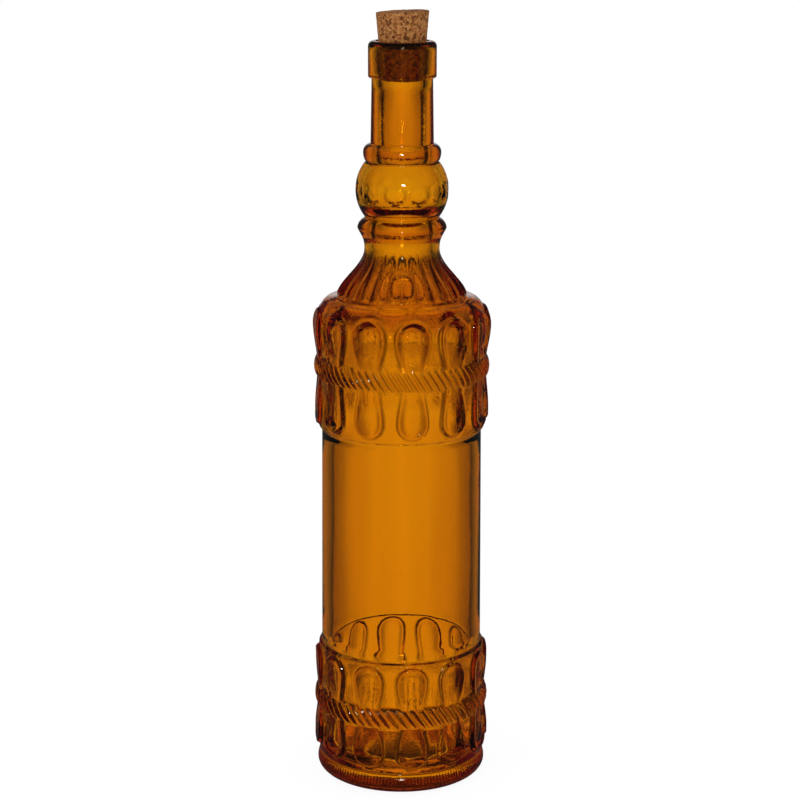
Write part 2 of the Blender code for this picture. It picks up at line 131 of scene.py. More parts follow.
def oval_arc(centre: Point, half_axes: Point, start: float, end: float, steps: int) -> Outline:
    """Draws a stretch of an oval.

    Args:
        centre: The oval's centre.
        half_axes: Its half width and half height.
        start: The angle that the stretch starts at, in radians from the outward direction.
        end: The angle that it ends at.
        steps: How many pieces it is cut into.

    Returns:
        Its points, both ends included.
    """
    return [
        (centre[0] + half_axes[0] * math.cos(angle), centre[1] + half_axes[1] * math.sin(angle))
        for angle in np.linspace(start, end, steps + 1)
    ]


def tapered_wall(bottom: Point, top: Point, row_count: int) -> Outline:
    """Draws a straight wall with rows close to its ends, which keep the corners there crisp.

    Args:
        bottom: Its lower end.
        top: Its upper end.
        row_count: How many even rows it has.

    Returns:
        Its points, both ends included.
    """
    height = top[1] - bottom[1]
    near = [0.0, CORNER_RUN / height, 3 * CORNER_RUN / height]
    shares = near + [float(s) for s in np.linspace(0.0, 1.0, row_count + 1)[1:-1]]
    shares += [1 - share for share in reversed(near)]
    return [(bottom[0] + (top[0] - bottom[0]) * share, bottom[1] + height * share) for share in shares]


def eased(start: Point, end: Point, steps: int) -> Outline:
    """Draws a soft step from one radius to another.

    Args:
        start: Where it starts.
        end: Where it ends.
        steps: How many pieces it is cut into.

    Returns:
        Its points, both ends included.
    """
    out, up = end[0] - start[0], end[1] - start[1]
    return [
        (start[0] + out * float(smooth(share)), start[1] + up * float(share))
        for share in np.linspace(0.0, 1.0, steps + 1)
    ]


# Turned points


@dataclass
class Turned:
    """Points of the turned bottle: the angle of each, its radius and its height."""

    angle: np.ndarray
    radius: np.ndarray
    z: np.ndarray


def nearest(angle: np.ndarray, count: int, first: float) -> np.ndarray:
    """Finds the middle line that each angle is nearest to.

    Args:
        angle: The angles.
        count: How many middle lines stand evenly round the bottle.
        first: Angle of one of them.

    Returns:
        The angle of the nearest middle line, for each angle.
    """
    pitch = 2 * math.pi / count
    return np.round((angle - first) / pitch) * pitch + first


def roughen(turned: Turned, chosen: np.ndarray, size: Point, height: float) -> None:
    """Adds soft noise to the radii of some turned points.

    Args:
        turned: The points.
        chosen: Says which of them change.
        size: Rough size of the noise's bumps, across the axis and along it.
        height: How far the highest of them stand out.
    """
    across, along = size
    for index in np.flatnonzero(chosen):
        angle, radius = turned.angle[index], turned.radius[index]
        x, y = radius * math.sin(angle), radius * math.cos(angle)
        place = Vector((x / across, y / across, turned.z[index] / along))
        turned.radius[index] += height * noise.noise(place)


# Levels of the bottle


@dataclass(frozen=True, kw_only=True)
class Level:
    """One level of the turned bottle, standing on the one below it."""

    base: float
    height: float

    @property
    def top(self) -> float:
        """Height at which the next level starts."""
        return self.base + self.height

    def outline(self) -> Outline:
        """Draws the plain turned outside of this level, from its base to just under its top."""
        raise NotImplementedError

    def press(self, turned: Turned) -> None:
        """Presses this level's relief into the turned points, where it has any."""

    def swell(self, bore: Turned) -> None:
        """Moves the points of the blown bore out behind this level's relief, where it has any."""


@dataclass(frozen=True, kw_only=True)
class Foot(Level):
    """The pushed-up underside, the knurled standing ring, the heel and the groove above it."""

    height: float = 0.0088
    ring_inner: float = 0.0268
    ring_outer: float = 0.0310
    radius: float = 0.0372
    heel_height: float = 0.0050
    groove_radius: float = 0.0352
    push_up_height: float = 0.0050
    push_up_flat_share: float = 0.5
    push_up_edge_shares: Point = (0.92, 0.95)
    knurl_count: int = 120
    knurl_depth: float = 0.0008
    knurl_inner: float = 0.0246
    knurl_outer: float = 0.0330
    knurl_run: float = 0.0010
    underside_steps: int = 9
    ring_steps: int = 4
    heel_steps: int = 8
    groove_steps: int = 6

    def outline(self) -> Outline:
        """Draws the foot from the middle of its underside.

        Returns:
            The outline's points.
        """
        inner, outer, rise = self.ring_inner, self.ring_outer, self.push_up_height
        edge_share, rise_share = self.push_up_edge_shares
        flat = (inner * self.push_up_flat_share, rise)
        edge = (inner * edge_share, rise * rise_share)
        underside = bezier(((0.0, rise), flat, edge, (inner, 0.0)), self.underside_steps)
        ring = [(float(r), 0.0) for r in np.linspace(inner, outer, self.ring_steps + 1)[1:-1]]
        heel_axes = (self.radius - outer, self.heel_height)
        heel = oval_arc((outer, self.heel_height), heel_axes, -QUARTER_TURN, 0.0, self.heel_steps)
        groove_axes = (self.radius - self.groove_radius, self.height - self.heel_height)
        groove_middle = (self.groove_radius, self.heel_height)
        groove = oval_arc(groove_middle, groove_axes, 0.0, QUARTER_TURN, self.groove_steps)
        return underside + ring + heel + groove[1:]

    def press(self, turned: Turned) -> None:
        """Presses the knurl up into the standing ring and over both its edges.

        Args:
            turned: The turned points.
        """
        low = turned.z < self.push_up_height
        inside = np.minimum(turned.radius - self.knurl_inner, self.knurl_outer - turned.radius)
        phase = (1 + np.cos(turned.angle * self.knurl_count)) / 2
        turned.z[low] += (self.knurl_depth * smooth(inside / self.knurl_run) * phase)[low]


@dataclass(frozen=True, kw_only=True)
class HalfLobe:
    """The part of a lobe on one side of the rope: its reach, round end, height and low end."""

    reach: float
    end_radius: float
    height: float
    ease_run: float = 0.0040
    ease_share: float = 0.75

    @property
    def round_start(self) -> float:
        """Distance from the rope at which the round end starts."""
        return self.reach - self.end_radius


@dataclass(frozen=True, kw_only=True)
class LobedBand(Level):
    """A ring of tall dished lobes, pinched where a rope crosses them."""

    radius: float
    rope_rise: float
    rope_radius: float
    strand_count: int
    below: HalfLobe
    above: HalfLobe
    low_radius: float
    high_radius: float
    edge_height: float
    edge_rows: int = 5
    rope_half_height: float = 0.0046
    rope_lean: float = math.radians(9.0)
    strand_depth: float = 0.0016
    lobe_count: int = 12
    lobe_turn: float = math.radians(7.5)
    rim_width: float = 0.0015
    dish_run: float = 0.0022
    dish_share: float = 0.36
    waist_width: float = 0.0052
    waist_height: float = 0.0006
    row_step: float = 0.0014
    end_row_step: float = 0.00052
    end_run: float = 0.0036
    rope_rows: int = 14
    column_shares: tuple[float, ...] = (0.0, 5 / 15, 9 / 15, 12 / 15, 1.0)
    column_run: float = 0.0030
    least_width_share: float = 0.6
    least_dish_share: float = 0.3
    swell_share: float = 0.5
    swell_run: float = 0.0050

    @property
    def rope_z(self) -> float:
        """Height of the rope's middle."""
        return self.base + self.rope_rise

    def rows(self) -> list[float]:
        """Places the rows that the lobes and the rope need.

        Returns:
            Their heights, from the bottom up.
        """
        low, high = self.rope_z - self.below.reach, self.rope_z + self.above.reach
        rope = self.rope_half_height
        turns = np.linspace(-QUARTER_TURN, QUARTER_TURN, self.rope_rows + 1)
        return (
            spaced(low, low + self.end_run, self.end_row_step)[:-1]
            + spaced(low + self.end_run, self.rope_z - rope, self.row_step)[:-1]
            + [self.rope_z + rope * math.sin(turn) for turn in turns]
            + spaced(self.rope_z + rope, high - self.end_run, self.row_step)[1:]
            + spaced(high - self.end_run, high, self.end_row_step)[1:]
        )

    def outline(self) -> Outline:
        """Draws the plain surface of the band between the rounded ledges at its edges.

        Returns:
            The outline's points.
        """
        low_edge = (self.radius, self.base + self.edge_height)
        points = eased((self.low_radius, self.base), low_edge, self.edge_rows)[1:]
        points += [(self.radius, z) for z in self.rows() if z < self.top]
        if self.above.reach <= self.top - self.rope_z:
            high_edge = (self.radius, self.top - self.edge_height)
            points += eased(high_edge, (self.high_radius, self.top), self.edge_rows)[:-1]
        return points

    def half_width(self, half: HalfLobe, run: np.ndarray) -> np.ndarray:
        """Works out half the width of a lobe.

        Args:
            half: The half of the lobe above or below the rope.
            run: Distances up or down from the rope's middle.

        Returns:
            Half the width at each distance.
        """
        spread = smooth(run / half.round_start)
        straight = self.waist_width + (half.end_radius - self.waist_width) * spread
        over = np.clip(run - half.round_start, 0.0, half.end_radius)
        return np.where(run <= half.round_start, straight, np.sqrt(half.end_radius**2 - over**2))

    def inside(self, half: HalfLobe, offset: np.ndarray, run: np.ndarray) -> np.ndarray:
        """Works out how far inside the outline of a lobe points lie.

        Args:
            half: The half of the lobe above or below the rope.
            offset: Distances round the bottle from the lobe's middle line.
            run: Distances up or down from the rope's middle.

        Returns:
            The distance of each point from the outline, below zero outside the lobe.
        """
        round_end = half.end_radius - np.hypot(offset, run - half.round_start)
        return np.where(run <= half.round_start, self.half_width(half, run) - offset, round_end)

    def lobe_relief(self, half: HalfLobe, offset: np.ndarray, run: np.ndarray) -> np.ndarray:
        """Works out how far a lobe stands out.

        Args:
            half: The half of the lobe above or below the rope.
            offset: Distances round the bottle from the lobe's middle line.
            run: Distances up or down from the rope's middle.

        Returns:
            The relief at each point.
        """
        inside = self.inside(half, offset, run)
        height = self.waist_height + (half.height - self.waist_height) * smooth(run / half.round_start)
        height *= half.ease_share + (1 - half.ease_share) * smooth((half.reach - run) / half.ease_run)
        dish = smooth((inside - self.rim_width) / self.dish_run)
        return height * (smooth(inside / self.rim_width) - self.dish_share * dish)

    def halves(self, turned: Turned) -> Iterator[tuple[HalfLobe, np.ndarray, np.ndarray]]:
        """Sorts turned points into those below the rope and those above it.

        Args:
            turned: The turned points.

        Yields:
            Each half of the lobes, which points it covers, and their distances from the rope.
        """
        for half, side in ((self.below, -1), (self.above, 1)):
            run = (turned.z - self.rope_z) * side
            chosen = (run >= 0) & (run < half.reach)
            yield half, chosen, run[chosen]

    def press(self, turned: Turned) -> None:
        """Presses the lobes and the rope into the turned points of this band.

        Args:
            turned: The turned points, whose columns lean along the rope's strands and close up
                along the outlines of the lobes.
        """
        turned.angle -= self.strand_turn(turned.z)
        for half, chosen, run in self.halves(turned):
            radius = turned.radius[chosen]
            angle, offset = self.follow_lobe(half, turned.angle[chosen], radius, run)
            rope = self.rope_surface(angle, turned.z[chosen])
            turned.angle[chosen] = angle
            turned.radius[chosen] = np.maximum(radius + self.lobe_relief(half, offset, run), rope)

    def swell(self, bore: Turned) -> None:
        """Lets the bore follow the lobes and the rope softly, as blown glass does.

        Args:
            bore: Points of the bore.
        """
        for half, chosen, run in self.halves(bore):
            angle = bore.angle[chosen]
            offset = np.abs(angle - nearest(angle, self.lobe_count, self.lobe_turn)) * self.radius
            lobe = smooth(self.inside(half, offset, run) / self.swell_run) * half.height
            lobe *= smooth(run / half.round_start)
            rope = np.cos(np.clip(run / (2 * self.rope_half_height), 0.0, 1.0) * QUARTER_TURN) ** 2
            rope *= self.rope_radius - self.radius
            bore.radius[chosen] += self.swell_share * np.maximum(lobe, rope)

    def follow_lobe(
        self, half: HalfLobe, angle: np.ndarray, radius: np.ndarray, run: np.ndarray
    ) -> tuple[np.ndarray, np.ndarray]:
        """Moves columns of the mesh round so that they follow the outline of their lobe.

        Args:
            half: The half of the lobe above or below the rope.
            angle: Angles of the points.
            radius: Radii of the points.
            run: Distances up or down from the rope's middle.

        Returns:
            The new angles, and the distances round from the middle line of the lobe.
        """
        middle = nearest(angle, self.lobe_count, self.lobe_turn)
        half_pitch = math.pi / self.lobe_count
        width = np.maximum(self.half_width(half, run), half.end_radius * self.least_width_share)
        dish = np.maximum(width - self.rim_width - self.dish_run, width * self.least_dish_share)
        knots = (np.zeros_like(width), dish, width - self.rim_width, width, radius * half_pitch)
        share = np.abs(angle - middle) / half_pitch
        offset = np.zeros_like(share)
        for knot, after, low, high in zip(knots, knots[1:], self.column_shares, self.column_shares[1:]):
            offset += (after - knot) * np.clip((share - low) / (high - low), 0.0, 1.0)
        weight = smooth((run - self.rope_half_height) / self.column_run)
        offset = offset * weight + share * radius * half_pitch * (1 - weight)
        return middle + np.sign(angle - middle) * offset / radius, offset

    def strand_turn(self, z: np.ndarray) -> np.ndarray:
        """Works out how far round a strand of the rope has leaned.

        Args:
            z: Heights of the points.

        Returns:
            The angle at each height, which stays the same below and above the rope.
        """
        share = (z - self.rope_z) / self.rope_half_height
        return self.rope_lean * np.clip((share + 1) / 2, 0.0, 1.0)

    def rope_surface(self, angle: np.ndarray, z: np.ndarray) -> np.ndarray:
        """Works out the radius of the rope with its leaning strands, or zero away from it.

        Args:
            angle: Angles of the points.
            z: Heights of the points.

        Returns:
            The rope's radius at each point.
        """
        share = (z - self.rope_z) / self.rope_half_height
        phase = np.mod((angle + self.strand_turn(z)) * self.strand_count / (2 * math.pi), 1.0) * 2 - 1
        groove = 1 - np.sqrt(np.clip(1 - phase * phase, 0.0, 1.0))
        bulge = self.rope_radius - self.radius - self.strand_depth * groove
        radius = self.radius + bulge * np.sqrt(np.clip(1 - share * share, 0.0, 1.0))
        return np.where(np.abs(share) < 1, radius, 0.0)


@dataclass(frozen=True, kw_only=True)
class PlainBody(Level):
    """The plain wall between the two bands."""

    height: float = 0.0958
    bottom_radius: float = 0.0351
    top_radius: float = 0.0346
    row_count: int = 6

    def outline(self) -> Outline:
        """Draws the wall, which narrows a little towards its top."""
        return tapered_wall((self.bottom_radius, self.base), (self.top_radius, self.top), self.row_count)


@dataclass(frozen=True, kw_only=True)
class Shoulder(Level):
    """The rounded shoulder that the tops of the upper lobes run up onto, and the step on it."""

    height: float = 0.0121
    radius: float
    inner_radius: float = 0.0278
    curve_power: float = 3.1
    lobe_top: float
    lobe_rows: list[float]
    step_height: float = 0.0020
    step_shares: tuple[float, ...] = (0.2, 0.5, 0.8)
    row_count: int = 6

    def outline(self) -> Outline:
        """Draws the shoulder's rounded oval and the step on it.

        Returns:
            The outline's points.
        """
        rows = [z for z in self.lobe_rows if z > self.base]
        rows += spaced(self.lobe_top, self.top, (self.top - self.lobe_top) / self.row_count)[1:]
        points = []
        for z in rows:
            rise = min((z - self.base) / self.height, 1.0)
            out = (1 - rise**self.curve_power) ** (1 / self.curve_power)
            points.append((self.inner_radius + (self.radius - self.inner_radius) * out, z))
        step = [(self.inner_radius, self.top + share * self.step_height) for share in self.step_shares]
        return points + step


@dataclass(frozen=True, kw_only=True)
class FlutedSkirt(Level):
    """The skirt of hollow flutes with sharp ridges between them."""

    height: float = 0.0190
    foot_radius: float = 0.0278
    top_radius: float = 0.0161
    foot_pull: Point = (0.14, 0.30)
    top_pull: float = 0.37
    flute_count: int = 24
    flute_depth: float = 0.0017
    row_count: int = 18

    def outline(self) -> Outline:
        """Draws the skirt from its foot up to the collar.

        Returns:
            The outline's points.
        """
        in_share, up_share = self.foot_pull
        in_pull = (self.foot_radius - self.top_radius) * in_share
        foot_pull = (self.foot_radius - in_pull, self.base + self.height * up_share)
        top_pull = (self.top_radius, self.top - self.height * self.top_pull)
        foot, top = (self.foot_radius, self.base), (self.top_radius, self.top)
        return bezier((foot, foot_pull, top_pull, top), self.row_count)

    def press(self, turned: Turned) -> None:
        """Presses the flutes in, deep at the skirt's foot and fading out at its top.

        Args:
            turned: The turned points.
        """
        chosen = (turned.z >= self.base - MERGE_DISTANCE) & (turned.z < self.top)
        across = np.mod(turned.angle[chosen] * self.flute_count / (2 * math.pi), 1.0) * 2 - 1
        fade = 1 - smooth((turned.z[chosen] - self.base) / self.height)
        turned.radius[chosen] -= self.flute_depth * fade * (1 - across * across)


@dataclass(frozen=True, kw_only=True)
class Collar(Level):
    """The flared collar with its round edge."""

    height: float = 0.0132
    foot_radius: float
    radius: float = 0.0191
    top_radius: float = 0.0157
    edge_height: float = 0.0043
    neck_pull: float = 0.50
    flare_pull: Point = (0.50, 0.36)
    edge_pull: float = 0.0021
    top_pull: Point = (0.0016, 0.0004)
    curve_steps: int = 8

    def outline(self) -> Outline:
        """Draws the flare and the round edge over it.

        Returns:
            The outline's points.
        """
        foot, top = (self.foot_radius, self.base), (self.top_radius, self.top)
        edge = (self.radius, self.top - self.edge_height)
        flare = edge[1] - self.base
        foot_pull = (self.foot_radius, self.base + flare * self.neck_pull)
        in_share, down_share = self.flare_pull
        flare_in = (self.radius - self.foot_radius) * in_share
        flare_pull = (self.radius - flare_in, edge[1] - flare * down_share)
        under = bezier((foot, foot_pull, flare_pull, edge), self.curve_steps)
        edge_pull = (self.radius, edge[1] + self.edge_pull)
        top_pull = (self.top_radius + self.top_pull[0], self.top - self.top_pull[1])
        over = bezier((edge, edge_pull, top_pull, top), self.curve_steps)
        return under[1:] + over[1:]


@dataclass(frozen=True, kw_only=True)
class Bulb(Level):
    """The round bulb with its ring of shallow thumbprints."""

    height: float = 0.0243
    radius: float = 0.0199
    foot_radius: float
    top_radius: float = 0.0154
    print_count: int = 12
    print_turn: float = math.radians(-8.5)
    print_width: float = 0.0100
    print_height: float = 0.0076
    print_depth: float = 0.0005
    print_edge: float = 3.0
    row_count: int = 24

    @property
    def middle_z(self) -> float:
        """Height of the bulb's widest part."""
        return self.base + self.height / 2

    def point(self, z: float, inset: float = 0.0) -> Point:
        """Gives a point of the bulb's arc, whose radius follows from how far the bulb swells.

        Args:
            z: Height of the point.
            inset: How far inside the arc it lies.

        Returns:
            The point.
        """
        half = self.height / 2
        swell = self.radius - (self.foot_radius + self.top_radius) / 2
        arc = (half * half + swell * swell) / (2 * swell)
        out = math.sqrt(max((arc - inset) ** 2 - (z - self.middle_z) ** 2, 0.0))
        return self.radius - arc + out, z

    def outline(self) -> Outline:
        """Draws the bulb's arc, up to the foot of the ring over it."""
        rows = spaced(self.base, self.top, self.height / self.row_count)[1:-1]
        return [self.point(z) for z in rows] + [(self.top_radius, self.top)]

    def press(self, turned: Turned) -> None:
        """Presses the thumbprints in.

        Args:
            turned: The turned points.
        """
        chosen = (turned.z > self.base) & (turned.z < self.top)
        angle, radius = turned.angle[chosen], turned.radius[chosen]
        aside = angle - nearest(angle, self.print_count, self.print_turn)
        across = aside * radius / (self.print_width / 2)
        up = (turned.z[chosen] - self.middle_z) / (self.print_height / 2)
        inside = self.print_edge * (1 - across * across - up * up)
        turned.radius[chosen] -= self.print_depth * smooth(inside)


@dataclass(frozen=True, kw_only=True)
class NeckRing(Level):
    """The round ring between the bulb and the neck."""

    height: float = 0.0072
    radius: float = 0.01665
    foot_radius: float
    top_radius: float
    row_count: int = 12

    def outline(self) -> Outline:
        """Draws the ring's bulge.

        Returns:
            The outline's points.
        """
        points = []
        for turn in np.linspace(0.0, math.pi, self.row_count + 1)[1:-1]:
            rise = (1 - math.cos(turn)) / 2
            foot = self.foot_radius + (self.top_radius - self.foot_radius) * rise
            out = (self.radius - foot) * math.sin(turn)
            points.append((foot + out, self.base + self.height * rise))
        return points


@dataclass(frozen=True, kw_only=True)
class Neck(Level):
    """The straight neck under the lip."""

    height: float = 0.0278
    bottom_radius: float = 0.01345
    top_radius: float = 0.01300
    row_count: int = 4

    def outline(self) -> Outline:
        """Draws the neck, which narrows a little towards the lip."""
        return tapered_wall((self.bottom_radius, self.base), (self.top_radius, self.top), self.row_count)


@dataclass(frozen=True, kw_only=True)
class Lip(Level):
    """The thick lip round the mouth."""

    height: float = 0.0154
    radius: float = 0.0145
    bottom_round: float = 0.0009
    top_round: float = 0.0022
    wall_steps: int = 4
    bottom_steps: int = 4
    top_steps: int = 5

    def outline(self) -> Outline:
        """Draws the lip up to the flat round its mouth.

        Returns:
            The outline's points.
        """
        low, high = self.bottom_round, self.top_round
        bottom = (self.radius - low, self.base + low)
        top = (self.radius - high, self.top - high)
        rows = np.linspace(bottom[1], top[1], self.wall_steps + 1)[1:-1]
        return (
            oval_arc(bottom, (low, low), -QUARTER_TURN, 0.0, self.bottom_steps)
            + [(self.radius, float(z)) for z in rows]
            + oval_arc(top, (high, high), 0.0, QUARTER_TURN, self.top_steps)
        )


class Levels(NamedTuple):
    """The levels of the bottle, from the foot up."""

    foot: Foot
    lower: LobedBand
    body: PlainBody
    upper: LobedBand
    shoulder: Shoulder
    skirt: FlutedSkirt
    collar: Collar
    bulb: Bulb
    ring: NeckRing
    neck: Neck
    lip: Lip


# The cork and the bore


@dataclass(frozen=True)
class Cork:
    """Sizes of the tapered cork and its place in the mouth."""

    top_radius: float = 0.0113
    bottom_radius: float = 0.0088
    length: float = 0.0288
    shown: float = 0.0122
    edge: float = 0.0005
    top_slant: float = math.radians(2.6)
    clearance: float = 0.0003
    # The next two bound the band of painted shade on the cork just under the mouth, which stands in for
    # the shadowed gap between cork and glass.
    mouth_shade_drop: float = 0.0005
    mouth_shade_depth: float = 0.0032

    def radius_at(self, z: float, mouth_z: float) -> float:
        """Gives the cork's radius at a height, for a mouth at mouth_z."""
        share = (z - (mouth_z + self.shown - self.length)) / self.length
        return self.bottom_radius + (self.top_radius - self.bottom_radius) * share


@dataclass(frozen=True)
class Walls:
    """Thickness of the glass at each level, what shapes the bore, and how finely it is drawn."""

    body: float = 0.0044
    band: float = 0.0047
    shoulder: float = 0.0040
    skirt: float = 0.0034
    collar: float = 0.0037
    waist: float = 0.0044
    bulb: float = 0.0036
    neck: float = 0.0050
    base: float = 0.0070
    floor_corner: float = 0.0120
    funnel_rise: Point = (0.0031, 0.0064)
    funnel_round: float = 0.0008
    bulb_top_share: float = 0.92
    skirt_bore_pull: float = 0.45
    skirt_bore_turn: float = math.radians(38.0)
    shoulder_pull: float = 0.55
    collar_bore_share: float = 0.35
    mouth_flare: Point = (0.0009, 0.0012)
    mouth_flare_shares: tuple[float, ...] = (1.0, 0.97, 0.75, 0.5, 0.25, 0.06, 0.0)
    seat_run: float = 0.0080
    band_run: Point = (0.0020, 0.0040)
    wave_size: Point = (0.016, 0.040)
    wave_height: float = 0.0002
    grain_size: Point = (0.0016, 0.0016)
    grain_height: float = 0.000018
    seat_step: float = 0.0036
    bulb_step: float = 0.0012
    band_step: float = 0.0024
    body_rows: int = 12
    neck_steps: int = 5
    funnel_steps: int = 9
    waist_steps: int = 6
    skirt_steps: int = 12
    shoulder_steps: int = 10
    ease_steps: int = 6
    floor_steps: int = 10


@dataclass(frozen=True)
class Bore:
    """The one hollow of the bottle, from the mouth down to the middle of its floor."""

    levels: Levels
    walls: Walls
    cork: Cork

    def outline(self) -> Outline:
        """Draws the whole bore, from the top down."""
        return self.mouth_and_neck() + self.bulb_and_waist() + self.skirt_and_shoulder() + self.wall()

    def mouth_and_neck(self) -> Outline:
        """Draws the flared mouth, the cork's seat and the neck's bore under it.

        Returns:
            The points.
        """
        walls, cork, neck = self.walls, self.cork, self.levels.neck
        mouth_z = self.levels.lip.top
        flare_width, flare_height = walls.mouth_flare
        edge_z = mouth_z - flare_height
        mouth = cork.radius_at(edge_z, mouth_z) + cork.clearance
        points = [
            (mouth + flare_width * share, mouth_z - flare_height * (1 - share))
            for share in walls.mouth_flare_shares
        ]
        seat_z = mouth_z + cork.shown - cork.length
        for z in spaced(edge_z, seat_z, walls.seat_step)[1:-1]:
            points.append((cork.radius_at(z, mouth_z) + cork.clearance, z))
        seat, narrow = cork.bottom_radius + cork.clearance, neck.top_radius - walls.neck
        turn_z = seat_z - walls.seat_run / 2
        pulls = ((seat, turn_z), (narrow, turn_z))
        points += bezier(((seat, seat_z), *pulls, (narrow, seat_z - walls.seat_run)), walls.neck_steps)
        return points + [(narrow, neck.base)]

    def bulb_and_waist(self) -> Outline:
        """Draws the bulb's round bore, and the funnel under it that meets the narrow waist.

        Returns:
            The points.
        """
        walls, bulb, collar = self.walls, self.levels.bulb, self.levels.collar
        waist, wide = bulb.foot_radius - walls.waist, collar.foot_radius - walls.collar
        low_z, high_z = (bulb.base + rise for rise in walls.funnel_rise)
        top_z = bulb.base + bulb.height * walls.bulb_top_share
        points = [bulb.point(z, walls.bulb) for z in spaced(top_z, high_z, walls.bulb_step)]
        bend = walls.funnel_round
        slope = (points[-1][0] - waist) / (high_z - low_z)
        pulls = ((waist + slope * bend, low_z + bend), (waist, low_z))
        points += bezier((points[-1], *pulls, (waist, low_z - 2 * bend)), walls.funnel_steps)[1:]
        end_z = collar.base + collar.height * walls.collar_bore_share
        pulls = ((waist, bulb.base - bend), (wide, end_z + 2 * bend))
        return points + bezier((points[-1], *pulls, (wide, end_z)), walls.waist_steps)[1:]

    def skirt_and_shoulder(self) -> Outline:
        """Draws the bore as it widens behind the skirt and turns down behind the shoulder.

        Returns:
            The points.
        """
        walls, shoulder, skirt = self.walls, self.levels.shoulder, self.levels.skirt
        narrow, turn = skirt.top_radius - walls.collar, skirt.foot_radius - walls.skirt
        wide = self.levels.upper.radius - walls.band
        turn_z, end_z = shoulder.top - walls.shoulder, shoulder.base - walls.shoulder
        pull = skirt.height * walls.skirt_bore_pull
        aside, down = pull * math.cos(walls.skirt_bore_turn), pull * math.sin(walls.skirt_bore_turn)
        pulls = ((narrow, skirt.top - pull), (turn - aside, turn_z + down))
        points = bezier(((narrow, skirt.top), *pulls, (turn, turn_z)), walls.skirt_steps)
        wide_pull = (wide, end_z + (turn_z - end_z) * walls.shoulder_pull)
        pulls = ((turn + aside, turn_z - down), wide_pull)
        return points + bezier((points[-1], *pulls, (wide, end_z)), walls.shoulder_steps)[1:]

    def wall(self) -> Outline:
        """Draws the wall behind the bands and the body, and the floor with its round corner.

        Returns:
            The points.
        """
        walls, body = self.walls, self.levels.body
        in_band, in_body = walls.band_run
        high_z, low_z = body.top - in_body, body.base + in_body
        upper, middle, lower = (
            self.levels.upper.radius - walls.band,
            body.top_radius - walls.body,
            self.levels.lower.radius - walls.band,
        )
        start_z = self.levels.shoulder.base - walls.shoulder
        points = [(upper, z) for z in spaced(start_z, body.top + in_band, walls.band_step)[1:-1]]
        points += eased((upper, body.top + in_band), (middle, high_z), walls.ease_steps)
        points += [(middle, z) for z in spaced(high_z, low_z, body.height / walls.body_rows)[1:-1]]
        points += eased((middle, low_z), (lower, body.base - in_band), walls.ease_steps)
        corner = walls.floor_corner
        corner_z = corner + walls.base
        end_z = corner_z + walls.band_step
        points += [(lower, z) for z in spaced(body.base - in_band, end_z, walls.band_step)[1:]]
        centre = (lower - corner, corner_z)
        points += oval_arc(centre, (corner, corner), 0.0, -QUARTER_TURN, walls.floor_steps)
        return points + [(0.0, self.levels.foot.push_up_height + walls.base)]


# Nodes and colours


def linear(hex_colour: str) -> Colour:
    """Turns an sRGB hex colour into the linear colour that Blender uses.

    Args:
        hex_colour: Six hex digits after a hash.

    Returns:
        Red, green, blue and an alpha of one.
    """
    parts = [int(hex_colour[start : start + 2], 16) / 255 for start in (1, 3, 5)]
    red, green, blue = (
        part / 12.92 if part <= 0.04045 else ((part + 0.055) / 1.055) ** 2.4 for part in parts
    )
    return red, green, blue, 1.0


def scale_of(millimetres: float) -> float:
    """Gives the scale at which a texture's features are this many millimetres across."""
    return 1 / (millimetres * MILLIMETRE)


def add_node(
    tree: bpy.types.NodeTree,
    kind: str,
    settings: dict[str, object] | None = None,
    inputs: dict[str, object] | None = None,
) -> bpy.types.Node:
    """Adds a node with its settings, its values and its links.

    Args:
        tree: The node tree.
        kind: The node's type, without its ShaderNode prefix.
        settings: Attributes of the node.
        inputs: A value or a socket to link for each input, by name or by number.

    Returns:
        The node.
    """
    node = tree.nodes.new("ShaderNode" + kind)
    for name, value in (settings or {}).items():
        setattr(node, name, value)
    for name, value in (inputs or {}).items():
        socket = node.inputs[int(name) if name.isdigit() else name]
        if isinstance(value, Socket):
            tree.links.new(value, socket)
        else:
            socket.default_value = value
    return node


def shade_ramp(node: bpy.types.Node, stops: list[tuple[float, Colour]]) -> None:
    """Sets the stops of a colour ramp node.

    Args:
        node: The node.
        stops: Place and colour of each stop.
    """
    elements = node.color_ramp.elements
    while len(elements) < len(stops):
        elements.new(1.0)
    for element, (place, colour) in zip(elements, stops, strict=True):
        element.position = place
        element.color = colour


def height_fades(
    tree: bpy.types.NodeTree, place: Socket, joined: str, spans: tuple[Point, Point]
) -> Socket:
    """Adds two fades along the object's height and joins them.

    Args:
        tree: The node tree.
        place: Places on the object.
        joined: The operation that joins the fades.
        spans: For each fade, the heights at which it is 0 and 1.

    Returns:
        The joined value.
    """
    height = add_node(tree, "SeparateXYZ", inputs={"Vector": place}).outputs["Z"]
    first, second = (
        add_node(tree, "MapRange", inputs={"Value": height, "From Min": start, "From Max": end})
        for start, end in spans
    )
    fades = {"0": first.outputs["Result"], "1": second.outputs["Result"]}
    return add_node(tree, "Math", {"operation": joined}, fades).outputs["Value"]


def new_material(name: str) -> tuple[bpy.types.Material, bpy.types.Node]:
    """Makes a material that holds nothing but its output.

    Args:
        name: The material's name.

    Returns:
        The material and its output node.
    """
    material = bpy.data.materials.new(name)
    material.use_nodes = True
    material.node_tree.nodes.clear()
    return material, add_node(material.node_tree, "OutputMaterial")


